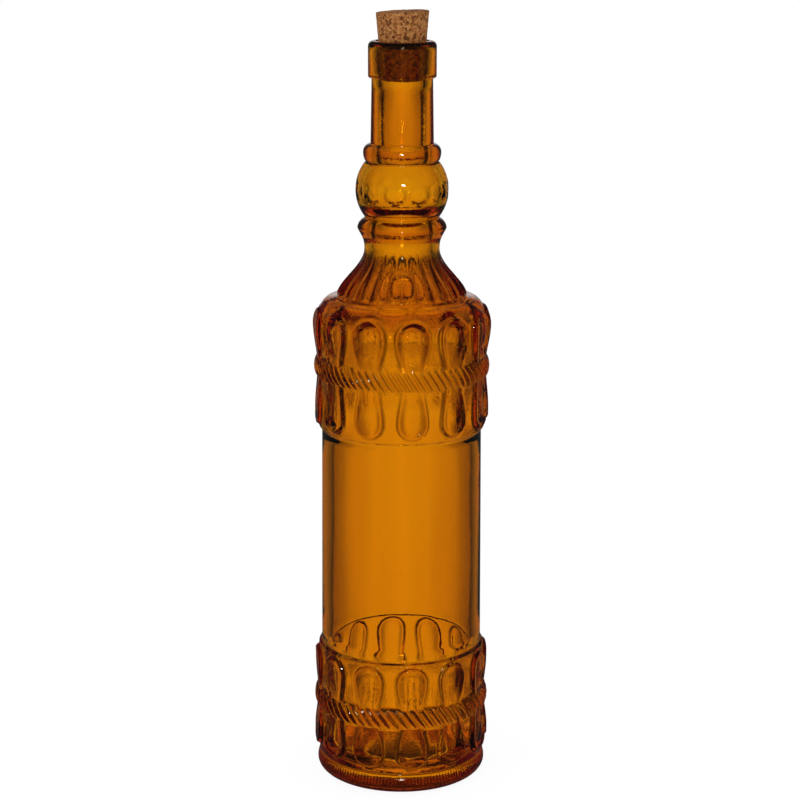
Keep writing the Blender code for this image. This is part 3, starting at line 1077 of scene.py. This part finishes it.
@dataclass(frozen=True, kw_only=True)
class AmberGlass:
    """Soda-lime bottle glass, pressed and blown, coloured amber right through.

    The eye sees a clear gloss, colour that deepens with the thickness of the glass, a slight
    waviness that the mould leaves on its skin, and a fine grain wherever a pattern is pressed in.
    """

    skin_tint_hex: str = "#F2D730"
    absorption_hex: str = "#F5D300"
    absorption_per_metre: float = 270.0
    ior: float = 1.52
    roughness: float = 0.008
    wave_mm: float = 7.0
    wave_height_mm: float = 1.0
    wave_strength: float = 0.03
    wave_detail: float = 2.0
    grain_mm: float = 0.9
    grain_height_mm: float = 0.05
    grain_detail: float = 1.0
    fade_run: float = 0.0020
    plain_low: float
    plain_high: float

    def build(self) -> bpy.types.Material:
        """Builds the glass.

        Returns:
            The material.
        """
        material, output = new_material("amber_glass")
        tree = material.node_tree
        place = add_node(tree, "TexCoord").outputs["Object"]
        low_span = (self.plain_low + self.fade_run, self.plain_low)
        high_span = (self.plain_high - self.fade_run, self.plain_high)
        pressed = height_fades(tree, place, "ADD", (low_span, high_span))
        skin = {}
        for size, detail, strength, height in (
            (self.wave_mm, self.wave_detail, self.wave_strength, self.wave_height_mm),
            (self.grain_mm, self.grain_detail, pressed, self.grain_height_mm),
        ):
            texture = {"Vector": place, "Scale": scale_of(size), "Detail": detail}
            relief = {
                "Height": add_node(tree, "TexNoise", inputs=texture).outputs["Fac"],
                "Strength": strength,
                "Distance": height * MILLIMETRE,
            }
            bumps = add_node(tree, "Bump", inputs=relief | skin)
            skin = {"Normal": bumps.outputs["Normal"]}
        clear = {
            "Base Color": linear(self.skin_tint_hex),
            "Roughness": self.roughness,
            "IOR": self.ior,
            "Transmission Weight": 1.0,
        }
        glass = add_node(tree, "BsdfPrincipled", inputs=clear | skin)
        amber = {"Color": linear(self.absorption_hex), "Density": self.absorption_per_metre}
        tint = add_node(tree, "VolumeAbsorption", inputs=amber)
        tree.links.new(glass.outputs["BSDF"], output.inputs["Surface"])
        tree.links.new(tint.outputs["Volume"], output.inputs["Volume"])
        return material


@dataclass(frozen=True, kw_only=True)
class NaturalCork:
    """Fine granules of cork bark pressed and ground to a taper.

    The eye sees pale tan grains a millimetre or so across, some darker, with brown bark flecks
    and small pits between them, and no gloss. A band of painted shade lies just under the mouth's
    rim and stands in for the shadowed gap between the cork and the glass.
    """

    light_hex: str = "#B9804A"
    middle_hex: str = "#8E5526"
    middle_stop: float = 0.35
    dark_hex: str = "#4E2812"
    grain_mm: float = 0.9
    wander_mm: float = 0.8
    wander_detail: float = 3.0
    wander_reach: float = 0.0009
    fleck_hex: str = "#3A1E0E"
    fleck_mm: float = 0.6
    fleck_levels: Point = (0.64, 0.74)
    pit_mm: float = 0.4
    pit_detail: float = 4.0
    pit_depth_mm: float = 0.25
    pit_strength: float = 0.6
    mottle_share: float = 0.6
    roughness: float = 0.9
    gloss: float = 0.2
    # Painted shade: a dark band on the cork just under the mouth, standing in for the shadowed gap between
    # cork and glass.
    mouth_shade_hex: str = "#140A06"
    mouth_shade_low: float
    mouth_shade_high: float
    mouth_shade_fade: float = 0.0004

    def build(self) -> bpy.types.Material:
        """Builds the cork.

        Returns:
            The material.
        """
        material, output = new_material("cork")
        tree = material.node_tree
        place = add_node(tree, "TexCoord").outputs["Object"]
        wander, fine = (
            add_node(tree, "TexNoise", inputs={"Vector": place, "Scale": scale_of(size), "Detail": detail})
            for size, detail in ((self.wander_mm, self.wander_detail), (self.pit_mm, self.pit_detail))
        )
        shift = {"0": wander.outputs["Color"], "1": (self.wander_reach,) * 3, "2": place}
        bent = add_node(tree, "VectorMath", {"operation": "MULTIPLY_ADD"}, shift).outputs["Vector"]
        grains, bark = (
            add_node(tree, kind, inputs={"Vector": bent, "Scale": scale_of(size)})
            for kind, size in (("TexVoronoi", self.grain_mm), ("TexNoise", self.fleck_mm))
        )
        pick = add_node(tree, "SeparateColor", inputs={"Color": grains.outputs["Color"]})
        shades = add_node(tree, "ValToRGB", inputs={"Fac": pick.outputs["Red"]})
        stops = ((0.0, self.dark_hex), (self.middle_stop, self.middle_hex), (1.0, self.light_hex))
        shade_ramp(shades, [(stop, linear(colour)) for stop, colour in stops])
        mottle = {
            "Fac": self.mottle_share,
            "Color1": shades.outputs["Color"],
            "Color2": fine.outputs["Color"],
        }
        colour = add_node(tree, "MixRGB", {"blend_type": "OVERLAY"}, mottle).outputs["Color"]
        fleck_low, fleck_high = self.fleck_levels
        fleck_range = {"Value": bark.outputs["Fac"], "From Min": fleck_low, "From Max": fleck_high}
        soft = {"interpolation_type": "SMOOTHSTEP"}
        flecks = add_node(tree, "MapRange", soft, fleck_range).outputs["Result"]
        # The band of painted shade under the mouth, faded in at both edges and mixed over the grain
        # colour.
        low_span = (self.mouth_shade_low, self.mouth_shade_low + self.mouth_shade_fade)
        high_span = (self.mouth_shade_high, self.mouth_shade_high - self.mouth_shade_fade)
        ring = height_fades(tree, place, "MULTIPLY", (low_span, high_span))
        for share, over in ((flecks, self.fleck_hex), (ring, self.mouth_shade_hex)):
            mixed = {"Fac": share, "Color1": colour, "Color2": linear(over)}
            colour = add_node(tree, "MixRGB", inputs=mixed).outputs["Color"]
        rise = {"0": fine.outputs["Fac"], "1": flecks}
        relief = {
            "Height": add_node(tree, "Math", {"operation": "SUBTRACT"}, rise).outputs["Value"],
            "Strength": self.pit_strength,
            "Distance": self.pit_depth_mm * MILLIMETRE,
        }
        skin = {
            "Base Color": colour,
            "Roughness": self.roughness,
            "Specular IOR Level": self.gloss,
            "Normal": add_node(tree, "Bump", inputs=relief).outputs["Normal"],
        }
        surface = add_node(tree, "BsdfPrincipled", inputs=skin)
        tree.links.new(surface.outputs["BSDF"], output.inputs["Surface"])
        return material


# Pieces


def mesh_piece(bm: bmesh.types.BMesh, name: str, material: bpy.types.Material) -> bpy.types.Object:
    """Makes a smooth named piece of a finished mesh, with its faces pointing out.

    Args:
        bm: The mesh, which is freed.
        name: The piece's name.
        material: Its finish.

    Returns:
        The piece.
    """
    bmesh.ops.recalc_face_normals(bm, faces=bm.faces)
    if bm.calc_volume(signed=True) < 0:
        bmesh.ops.reverse_faces(bm, faces=bm.faces)
    mesh = bpy.data.meshes.new(name)
    bm.to_mesh(mesh)
    bm.free()
    mesh.materials.append(material)
    mesh.shade_smooth()
    piece = bpy.data.objects.new(name, mesh)
    bpy.context.scene.collection.objects.link(piece)
    return piece


def turn(bm: bmesh.types.BMesh, outline: Outline, columns: int, mark: int = 0) -> None:
    """Turns an outline all the way round the axis, one sector with spin and the rest as its copies.

    Args:
        bm: The mesh that it is added to, which has the layer of Mark.IN_BORE.
        outline: Its points.
        columns: How many columns the turned surface has.
        mark: Value of the layer on its points.
    """
    part = bmesh.new()
    start = [part.verts.new((0.0, -radius, z)) for radius, z in outline]
    edges = [part.edges.new(pair) for pair in zip(start, start[1:])]
    round_axis = {"cent": (0, 0, 0), "axis": (0, 0, 1)}
    sector = 2 * math.pi / SECTORS
    bmesh.ops.spin(part, geom=start + edges, angle=sector, steps=columns // SECTORS, **round_axis)
    bmesh.ops.spin(
        part,
        geom=[*part.verts, *part.edges, *part.faces],
        angle=2 * math.pi - sector,
        steps=SECTORS - 1,
        use_duplicate=True,
        **round_axis,
    )
    bmesh.ops.remove_doubles(part, verts=part.verts, dist=MERGE_DISTANCE)
    turned = bpy.data.meshes.new("turned")
    part.to_mesh(turned)
    part.free()
    count = len(bm.verts)
    bm.from_mesh(turned)
    bpy.data.meshes.remove(turned)
    bm.verts.ensure_lookup_table()
    layer = bm.verts.layers.int[Mark.IN_BORE.value]
    for vert in bm.verts[count:]:
        vert[layer] = mark


def move_points(
    bm: bmesh.types.BMesh, chosen: Callable[[bmesh.types.BMVert], bool], press: Callable[[Turned], None]
) -> None:
    """Changes the angle, radius and height of some points of a turned mesh.

    Args:
        bm: The mesh.
        chosen: Says which points are changed.
        press: Changes them.
    """
    verts = [vert for vert in bm.verts if chosen(vert)]
    x, y, z = np.array([vert.co for vert in verts]).T
    turned = Turned(np.arctan2(x, -y), np.hypot(x, y), z.copy())
    press(turned)
    x, y = turned.radius * np.sin(turned.angle), -turned.radius * np.cos(turned.angle)
    for vert, place in zip(verts, np.column_stack((x, y, turned.z)), strict=True):
        vert.co = Vector(place)


@dataclass(frozen=True)
class GlassBottle:
    """The one-piece bottle: its levels, the thickness of its glass and its fineness."""

    levels: Levels
    walls: Walls
    cork: Cork
    finish: AmberGlass
    columns: int = 360
    neck_columns: int = 180
    bore_columns: int = 120

    @classmethod
    def stacked(cls, walls: Walls, cork: Cork) -> "GlassBottle":
        """Stacks the levels, each on the one below it.

        Args:
            walls: Thickness of the glass.
            cork: The cork that the mouth is made for.

        Returns:
            The bottle.
        """
        foot = Foot(base=0.0)
        lower = LobedBand(
            base=foot.top,
            height=0.0519,
            radius=0.0364,
            rope_rise=0.0263,
            rope_radius=0.0384,
            strand_count=60,
            below=HalfLobe(reach=0.0233, end_radius=0.0078, height=0.0021),
            above=HalfLobe(reach=0.0242, end_radius=0.0074, height=0.0017),
            low_radius=foot.groove_radius,
            high_radius=PlainBody.bottom_radius,
            edge_height=0.0013,
        )
        body = PlainBody(base=lower.top)
        upper = LobedBand(
            base=body.top,
            height=0.0462,
            radius=0.0359,
            rope_rise=0.0285,
            rope_radius=0.0380,
            strand_count=72,
            below=HalfLobe(reach=0.0261, end_radius=0.0073, height=0.0018),
            above=HalfLobe(
                reach=0.0267, end_radius=0.0084, height=0.0027, ease_run=0.0085, ease_share=0.5
            ),
            low_radius=body.top_radius,
            high_radius=body.top_radius,
            edge_height=0.0022,
        )
        shoulder = Shoulder(
            base=upper.top,
            radius=upper.radius,
            lobe_top=upper.rope_z + upper.above.reach,
            lobe_rows=upper.rows(),
        )
        skirt = FlutedSkirt(base=shoulder.top + shoulder.step_height)
        collar = Collar(base=skirt.top, foot_radius=skirt.top_radius)
        bulb = Bulb(base=collar.top, foot_radius=collar.top_radius)
        ring = NeckRing(base=bulb.top, foot_radius=bulb.top_radius, top_radius=Neck.bottom_radius)
        neck = Neck(base=ring.top)
        lip = Lip(base=neck.top)
        levels = Levels(foot, lower, body, upper, shoulder, skirt, collar, bulb, ring, neck, lip)
        finish = AmberGlass(plain_low=body.base, plain_high=body.top)
        return cls(levels, walls, cork, finish)

    @property
    def mouth_z(self) -> float:
        """Height of the mouth."""
        return self.levels.lip.top

    def wave(self, turned: Turned) -> None:
        """Gives the blown bore its slow waves, which bend what is seen through the wall.

        Args:
            turned: Points of the bore.
        """
        for level in self.levels:
            level.swell(turned)
        body = self.levels.body
        waved = (turned.radius >= self.walls.floor_corner) & (turned.z <= body.top + body.height / 2)
        roughen(turned, waved, self.walls.wave_size, self.walls.wave_height)

    def press(self, turned: Turned) -> None:
        """Presses the relief of every level into the turned outside, with the mould's grain.

        Args:
            turned: The turned points.
        """
        for level in self.levels:
            level.press(turned)
        body = self.levels.body
        grained = (turned.z > self.levels.lower.base) & (turned.z < self.levels.skirt.top)
        grained &= (turned.z < body.base) | (turned.z > body.top)
        roughen(turned, grained, self.walls.grain_size, self.walls.grain_height)

    def build(self) -> bpy.types.Object:
        """Builds the bottle as one closed piece of glass.

        Returns:
            The piece.
        """
        bm = bmesh.new()
        layer = bm.verts.layers.int.new(Mark.IN_BORE.value)
        neck_from = self.levels.collar.base
        low = [point for level in self.levels if level.base < neck_from for point in level.outline()]
        high = [point for level in self.levels if level.base >= neck_from for point in level.outline()]
        bore = Bore(self.levels, self.walls, self.cork)
        turn(bm, low, self.columns)
        turn(bm, high, self.neck_columns)
        turn(bm, bore.outline(), self.bore_columns, mark=1)
        move_points(bm, lambda vert: vert[layer] == 0, self.press)
        move_points(bm, lambda vert: vert[layer] == 1, self.wave)
        open_edges = [edge for edge in bm.edges if edge.is_boundary]
        for at_mouth in (False, True):
            seam = [edge for edge in open_edges if (edge.verts[0].co.z > high[1][1]) == at_mouth]
            bmesh.ops.bridge_loops(bm, edges=seam)
        piece = mesh_piece(bm, "pressed_glass", self.finish.build())
        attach(piece, Body.BOTTLE.value)
        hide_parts("glass_bottle")
        return piece


@dataclass(frozen=True)
class CorkStopper:
    """The tapered cork with its granules, pits and worn edges."""

    cork: Cork
    mouth_z: float
    finish: NaturalCork
    columns: int = 156
    row_step: float = 0.0004
    edge_steps: int = 4
    pit_depth: float = 0.00022
    grain_size: float = 0.0011
    grain_share: float = 0.35
    hollow_size: float = 0.0023
    hollow_place: tuple[float, float, float] = (7.0, 3.0, 5.0)
    hollow_level: float = 0.25
    hollow_share: float = 2.2

    def outline(self) -> Outline:
        """Draws the cork from the middle of its lower end to the middle of its top.

        Returns:
            The outline's points.
        """
        cork, step = self.cork, self.row_step
        top_z = self.mouth_z + cork.shown
        bottom_z = top_z - cork.length
        low = (cork.bottom_radius - cork.edge, bottom_z + cork.edge)
        high = (cork.top_radius - cork.edge, top_z - cork.edge)
        edge = (cork.edge, cork.edge)
        sides = [(cork.radius_at(z, self.mouth_z), z) for z in spaced(low[1], high[1], step)[1:-1]]
        return (
            [(radius, bottom_z) for radius in spaced(0.0, low[0], 2 * step)[:-1]]
            + oval_arc(low, edge, -QUARTER_TURN, 0.0, self.edge_steps)
            + sides
            + oval_arc(high, edge, 0.0, QUARTER_TURN, self.edge_steps)
            + [(radius, top_z) for radius in spaced(high[0], 0.0, 2 * step)[1:]]
        )

    def build(self) -> bpy.types.Object:
        """Builds the cork.

        Returns:
            The piece.
        """
        bm = bmesh.new()
        bm.verts.layers.int.new(Mark.IN_BORE.value)
        turn(bm, self.outline(), self.columns)
        bmesh.ops.recalc_face_normals(bm, faces=bm.faces)
        half_shown = self.cork.shown / 2
        middle = self.mouth_z + half_shown
        for vert in bm.verts:
            grain = self.grain_share * (1 + noise.noise(vert.co / self.grain_size))
            hollow = noise.noise(vert.co / self.hollow_size + Vector(self.hollow_place))
            hollow = self.hollow_share * max(hollow - self.hollow_level, 0.0)
            vert.co -= vert.normal * self.pit_depth * (grain + hollow)
            if vert.co.z > middle:
                slope = min((vert.co.z - middle) / half_shown, 1.0)
                vert.co.z += vert.co.x * math.tan(self.cork.top_slant) * slope
        piece = mesh_piece(bm, "tapered_cork", self.finish.build())
        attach(piece, Body.STOPPER.value)
        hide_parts("cork_stopper")
        return piece


# Studio


@dataclass(frozen=True)
class Fade:
    """A soft change of light over the directions of rays, along one axis of their direction."""

    axis: str
    start: float
    end: float
    level_before: float = 0.0
    level_after: float = 1.0

    def add(self, tree: bpy.types.NodeTree, way: bpy.types.Node) -> Socket:
        """Adds the fade to the world.

        Args:
            tree: The world's node tree.
            way: The node that holds the parts of a ray's direction.

        Returns:
            The fade's level.
        """
        values = {
            "Value": way.outputs[self.axis],
            "From Min": self.start,
            "From Max": self.end,
            "To Min": self.level_before,
            "To Max": self.level_after,
        }
        soft = {"interpolation_type": "SMOOTHSTEP"}
        return add_node(tree, "MapRange", soft, values).outputs["Result"]


@dataclass(frozen=True)
class Lamp:
    """A square area lamp that faces the object, whose radiance is 1 where it looks white."""

    name: str
    place: tuple[float, float, float]
    size: float
    radiance: float
    in_glass: bool

    def build(self) -> None:
        """Hangs the lamp."""
        light = bpy.data.lights.new(self.name, "AREA")
        light.shape = "SQUARE"
        light.size = self.size
        light.energy = self.radiance * math.pi * self.size**2
        lamp = bpy.data.objects.new(self.name, light)
        aim = Vector((0.0, 0.0, MIDDLE_HEIGHT)) - Vector(self.place)
        lamp.location = self.place
        lamp.rotation_euler = aim.to_track_quat("-Z", "Y").to_euler()
        lamp.visible_camera = False
        lamp.visible_glossy = lamp.visible_transmission = self.in_glass
        bpy.context.scene.collection.objects.link(lamp)


def along(degrees: float) -> float:
    """Gives how much of a ray runs along an axis, at this angle from the plane across it."""
    return math.sin(math.radians(degrees))


@dataclass(frozen=True)
class Studio:
    """The pale floor, the soft surroundings, the lamps and the camera.

    The panels are pairs of an angle, in degrees from straight behind the object, and a level.
    The high ones take over from the low ones along high_from, and zenith dims rays that climb
    steeply. The shade within shade_edges lies low towards the photographer. All of that shows
    through the glass only, and mirrored is what gloss shows.
    """

    floor_size: float = 4.0
    floor_hex: str = "#F4F4F4"
    shadow_share: float = 0.12
    ground_white: float = 1.05
    # Painted shadow: a dark disc under the bottle, seen only through the glass, standing in for the
    # table's shade beneath it and set a little towards the back.
    painted_shadow_hex: str = "#120A08"
    painted_shadow_radius: float = 0.0190
    painted_shadow_back: float = 0.0045
    painted_shadow_drop: float = 0.0004
    painted_shadow_sides: int = 64
    ambient: float = 0.75
    low_panels: tuple[Point, ...] = (
        (0, 1.13), (4, 1.08), (8, 0.92), (12, 0.72), (18, 0.62), (27, 0.44), (36, 0.28),
        (44, 0.15), (54, 0.02), (76, 0.02), (84, 0.70), (90, 1.10), (96, 0.70), (104, 0.03),
        (124, 0.05), (132, 0.70), (138, 0.70), (146, 0.40), (165, 0.50), (174, 0.80), (180, 0.90),
    )
    high_panels: tuple[Point, ...] = (
        (0, 0.99), (8, 0.93), (14, 0.86), (22, 0.74), (32, 0.56), (40, 0.30), (46, 0.85),
        (52, 0.40), (58, 0.03), (72, 0.03), (80, 0.60), (86, 0.95), (92, 0.60), (100, 0.04),
        (118, 0.05), (130, 0.80), (140, 0.80), (150, 0.30), (165, 0.60), (180, 1.00),
    )
    high_from: Fade = Fade("Z", along(-14), along(2))
    zenith: Fade = Fade("Z", along(22), along(62), 1.0, 0.2)
    shade_edges: tuple[Fade, ...] = (
        Fade("Z", along(-35), along(-40)),
        Fade("Y", 0.0, -0.25),
        Fade("Z", along(-68), along(-60)),
    )
    front_shade: float = 0.35
    mirrored: Fade = Fade("Y", along(70), along(85), 0.05, 0.6)
    lamps: tuple[Lamp, ...] = (
        Lamp("key", (-0.9, -1.1, 1.1), 0.8, 1.3, in_glass=False),
        Lamp("flash", (0.0, -1.0, 0.52), 0.13, 30.0, in_glass=True),
    )
    bounces: int = 20
    camera_distance: float = 1.0
    camera_tilt: float = math.radians(13.5)
    camera_roll: float = math.radians(0.12)
    aim: tuple[float, float, float] = (-0.0007, 0.0, 0.16878)
    lens_mm: float = 103.5
    sensor_mm: float = 36.0
    sight: float = 50.0

    def build_floor(self) -> None:
        """Lays the pale floor, which shows the object's shadow faintly on a white ground."""
        material, output = new_material("pale_floor")
        tree = material.node_tree
        matt = add_node(tree, "BsdfDiffuse", inputs={"Color": linear(self.floor_hex)})
        light = {"Color": linear("#FFFFFF"), "Strength": self.ground_white}
        white = add_node(tree, "Emission", inputs=light)
        seen = add_node(tree, "LightPath").outputs["Is Camera Ray"]
        lit = {"0": seen, "1": 1 - self.shadow_share}
        share = add_node(tree, "Math", {"operation": "MULTIPLY"}, lit).outputs["Value"]
        both = {"0": share, "1": matt.outputs["BSDF"], "2": white.outputs["Emission"]}
        mixed = add_node(tree, "MixShader", inputs=both)
        tree.links.new(mixed.outputs["Shader"], output.inputs["Surface"])
        bm = bmesh.new()
        bmesh.ops.create_grid(bm, x_segments=1, y_segments=1, size=self.floor_size / 2)
        floor = mesh_piece(bm, "floor", material)
        floor.visible_transmission = False
        floor.visible_glossy = False

    def build_painted_shadow(self) -> None:
        """Lays a painted shadow that only the glass shows: a dark disc for the shade on the table right
        under the bottle.
        """
        material, output = new_material("shaded_table")
        dark = add_node(material.node_tree, "BsdfDiffuse", inputs={"Color": linear(self.painted_shadow_hex)})
        material.node_tree.links.new(dark.outputs["BSDF"], output.inputs["Surface"])
        bm = bmesh.new()
        bmesh.ops.create_circle(bm, cap_ends=True, segments=self.painted_shadow_sides, radius=self.painted_shadow_radius)
        bmesh.ops.translate(bm, verts=bm.verts, vec=(0, self.painted_shadow_back, -self.painted_shadow_drop))
        # The disc of painted shadow is hidden from all rays but those through the glass.
        shadow_disc = mesh_piece(bm, "painted_table_shadow", material)
        shadow_disc.visible_camera = False
        shadow_disc.visible_diffuse = False
        shadow_disc.visible_glossy = False
        shadow_disc.visible_shadow = False

    def light_through_glass(self, tree: bpy.types.NodeTree, way: bpy.types.Node) -> Socket:
        """Adds the bright panels with dark gaps between them that show through the glass.

        Args:
            tree: The world's node tree.
            way: The node that holds the parts of a ray's direction.

        Returns:
            The level of the light.
        """
        sides = {"0": way.outputs["X"], "1": way.outputs["Y"]}
        turned = add_node(tree, "Math", {"operation": "ARCTAN2"}, sides)
        aside = add_node(tree, "Math", {"operation": "ABSOLUTE"}, {"0": turned.outputs["Value"]})
        half_turn = {"0": aside.outputs["Value"], "1": math.pi}
        share = add_node(tree, "Math", {"operation": "DIVIDE"}, half_turn)
        mixed = {"Fac": self.high_from.add(tree, way)}
        for name, panels in (("Color1", self.low_panels), ("Color2", self.high_panels)):
            ramp = add_node(tree, "ValToRGB", inputs={"Fac": share.outputs["Value"]})
            shade_ramp(ramp, [(angle / 180, (level, level, level, 1.0)) for angle, level in panels])
            mixed[name] = ramp.outputs["Color"]
        level = add_node(tree, "MixRGB", inputs=mixed).outputs["Color"]
        edge, *others = (fade.add(tree, way) for fade in self.shade_edges)
        for other in others:
            both = {"0": edge, "1": other}
            edge = add_node(tree, "Math", {"operation": "MULTIPLY"}, both).outputs["Value"]
        shade = add_node(
            tree, "MapRange", inputs={"Value": edge, "To Min": 1.0, "To Max": self.front_shade}
        )
        for dimmed in (self.zenith.add(tree, way), shade.outputs["Result"]):
            both = {"0": level, "1": dimmed}
            level = add_node(tree, "Math", {"operation": "MULTIPLY"}, both).outputs["Value"]
        return level

    def build_world(self) -> None:
        """Surrounds the object with even light, with what its glass shows, and with white."""
        world = bpy.data.worlds.new("soft_studio")
        bpy.context.scene.world = world
        world.use_nodes = True
        tree = world.node_tree
        tree.nodes.clear()
        direction = add_node(tree, "TexCoord").outputs["Generated"]
        way = add_node(tree, "SeparateXYZ", inputs={"Vector": direction})
        rays = add_node(tree, "LightPath")
        level = self.ambient
        for kind, shown in (
            ("Is Glossy Ray", self.mirrored.add(tree, way)),
            ("Is Transmission Ray", self.light_through_glass(tree, way)),
            ("Is Camera Ray", 1.0),
        ):
            either = {"0": rays.outputs[kind], "2": level, "3": shown}
            level = add_node(tree, "Mix", {"data_type": "FLOAT"}, either).outputs["Result"]
        sky = add_node(tree, "Background", inputs={"Color": linear("#FFFFFF"), "Strength": level})
        output = add_node(tree, "OutputWorld")
        tree.links.new(sky.outputs["Background"], output.inputs["Surface"])

    def build_camera(self) -> None:
        """Sets the camera at the photograph's viewing angle."""
        camera = bpy.data.cameras.new("camera")
        camera.lens = self.lens_mm
        camera.sensor_width = self.sensor_mm
        camera.clip_end = self.sight
        holder = bpy.data.objects.new("camera", camera)
        back = Vector((0.0, -math.cos(self.camera_tilt), math.sin(self.camera_tilt)))
        turned = Euler((QUARTER_TURN - self.camera_tilt, 0.0, 0.0)).to_matrix()
        roll = Matrix.Rotation(self.camera_roll, 3, "Z")
        place = Vector(self.aim) + back * self.camera_distance
        holder.matrix_world = Matrix.Translation(place) @ (turned @ roll).to_4x4()
        bpy.context.scene.collection.objects.link(holder)
        bpy.context.scene.camera = holder

    def build(self) -> None:
        """Builds the studio."""
        self.build_floor()
        self.build_painted_shadow()
        self.build_world()
        for lamp in self.lamps:
            lamp.build()
        self.build_camera()
        bpy.context.scene.view_settings.view_transform = "Standard"
        bpy.context.scene.cycles.max_bounces = self.bounces
        bpy.context.scene.cycles.transmission_bounces = self.bounces


def main() -> None:
    """Builds the carafe and its studio."""
    logging.basicConfig(level=logging.INFO, format="%(message)s")
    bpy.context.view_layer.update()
    cork = Cork()
    bottle = GlassBottle.stacked(Walls(), cork)
    mouth_z = bottle.mouth_z
    # The cork's band of painted shade sits just under the mouth.
    finish = NaturalCork(mouth_shade_low=mouth_z - cork.mouth_shade_depth, mouth_shade_high=mouth_z - cork.mouth_shade_drop)
    for sub_assembly in (bottle, CorkStopper(cork, mouth_z, finish)):
        piece = sub_assembly.build()
        piece.data.calc_loop_triangles()
        log.info("%s: %d triangles", piece.name, len(piece.data.loop_triangles))
    Studio().build()


if __name__ == "__main__":
    main()
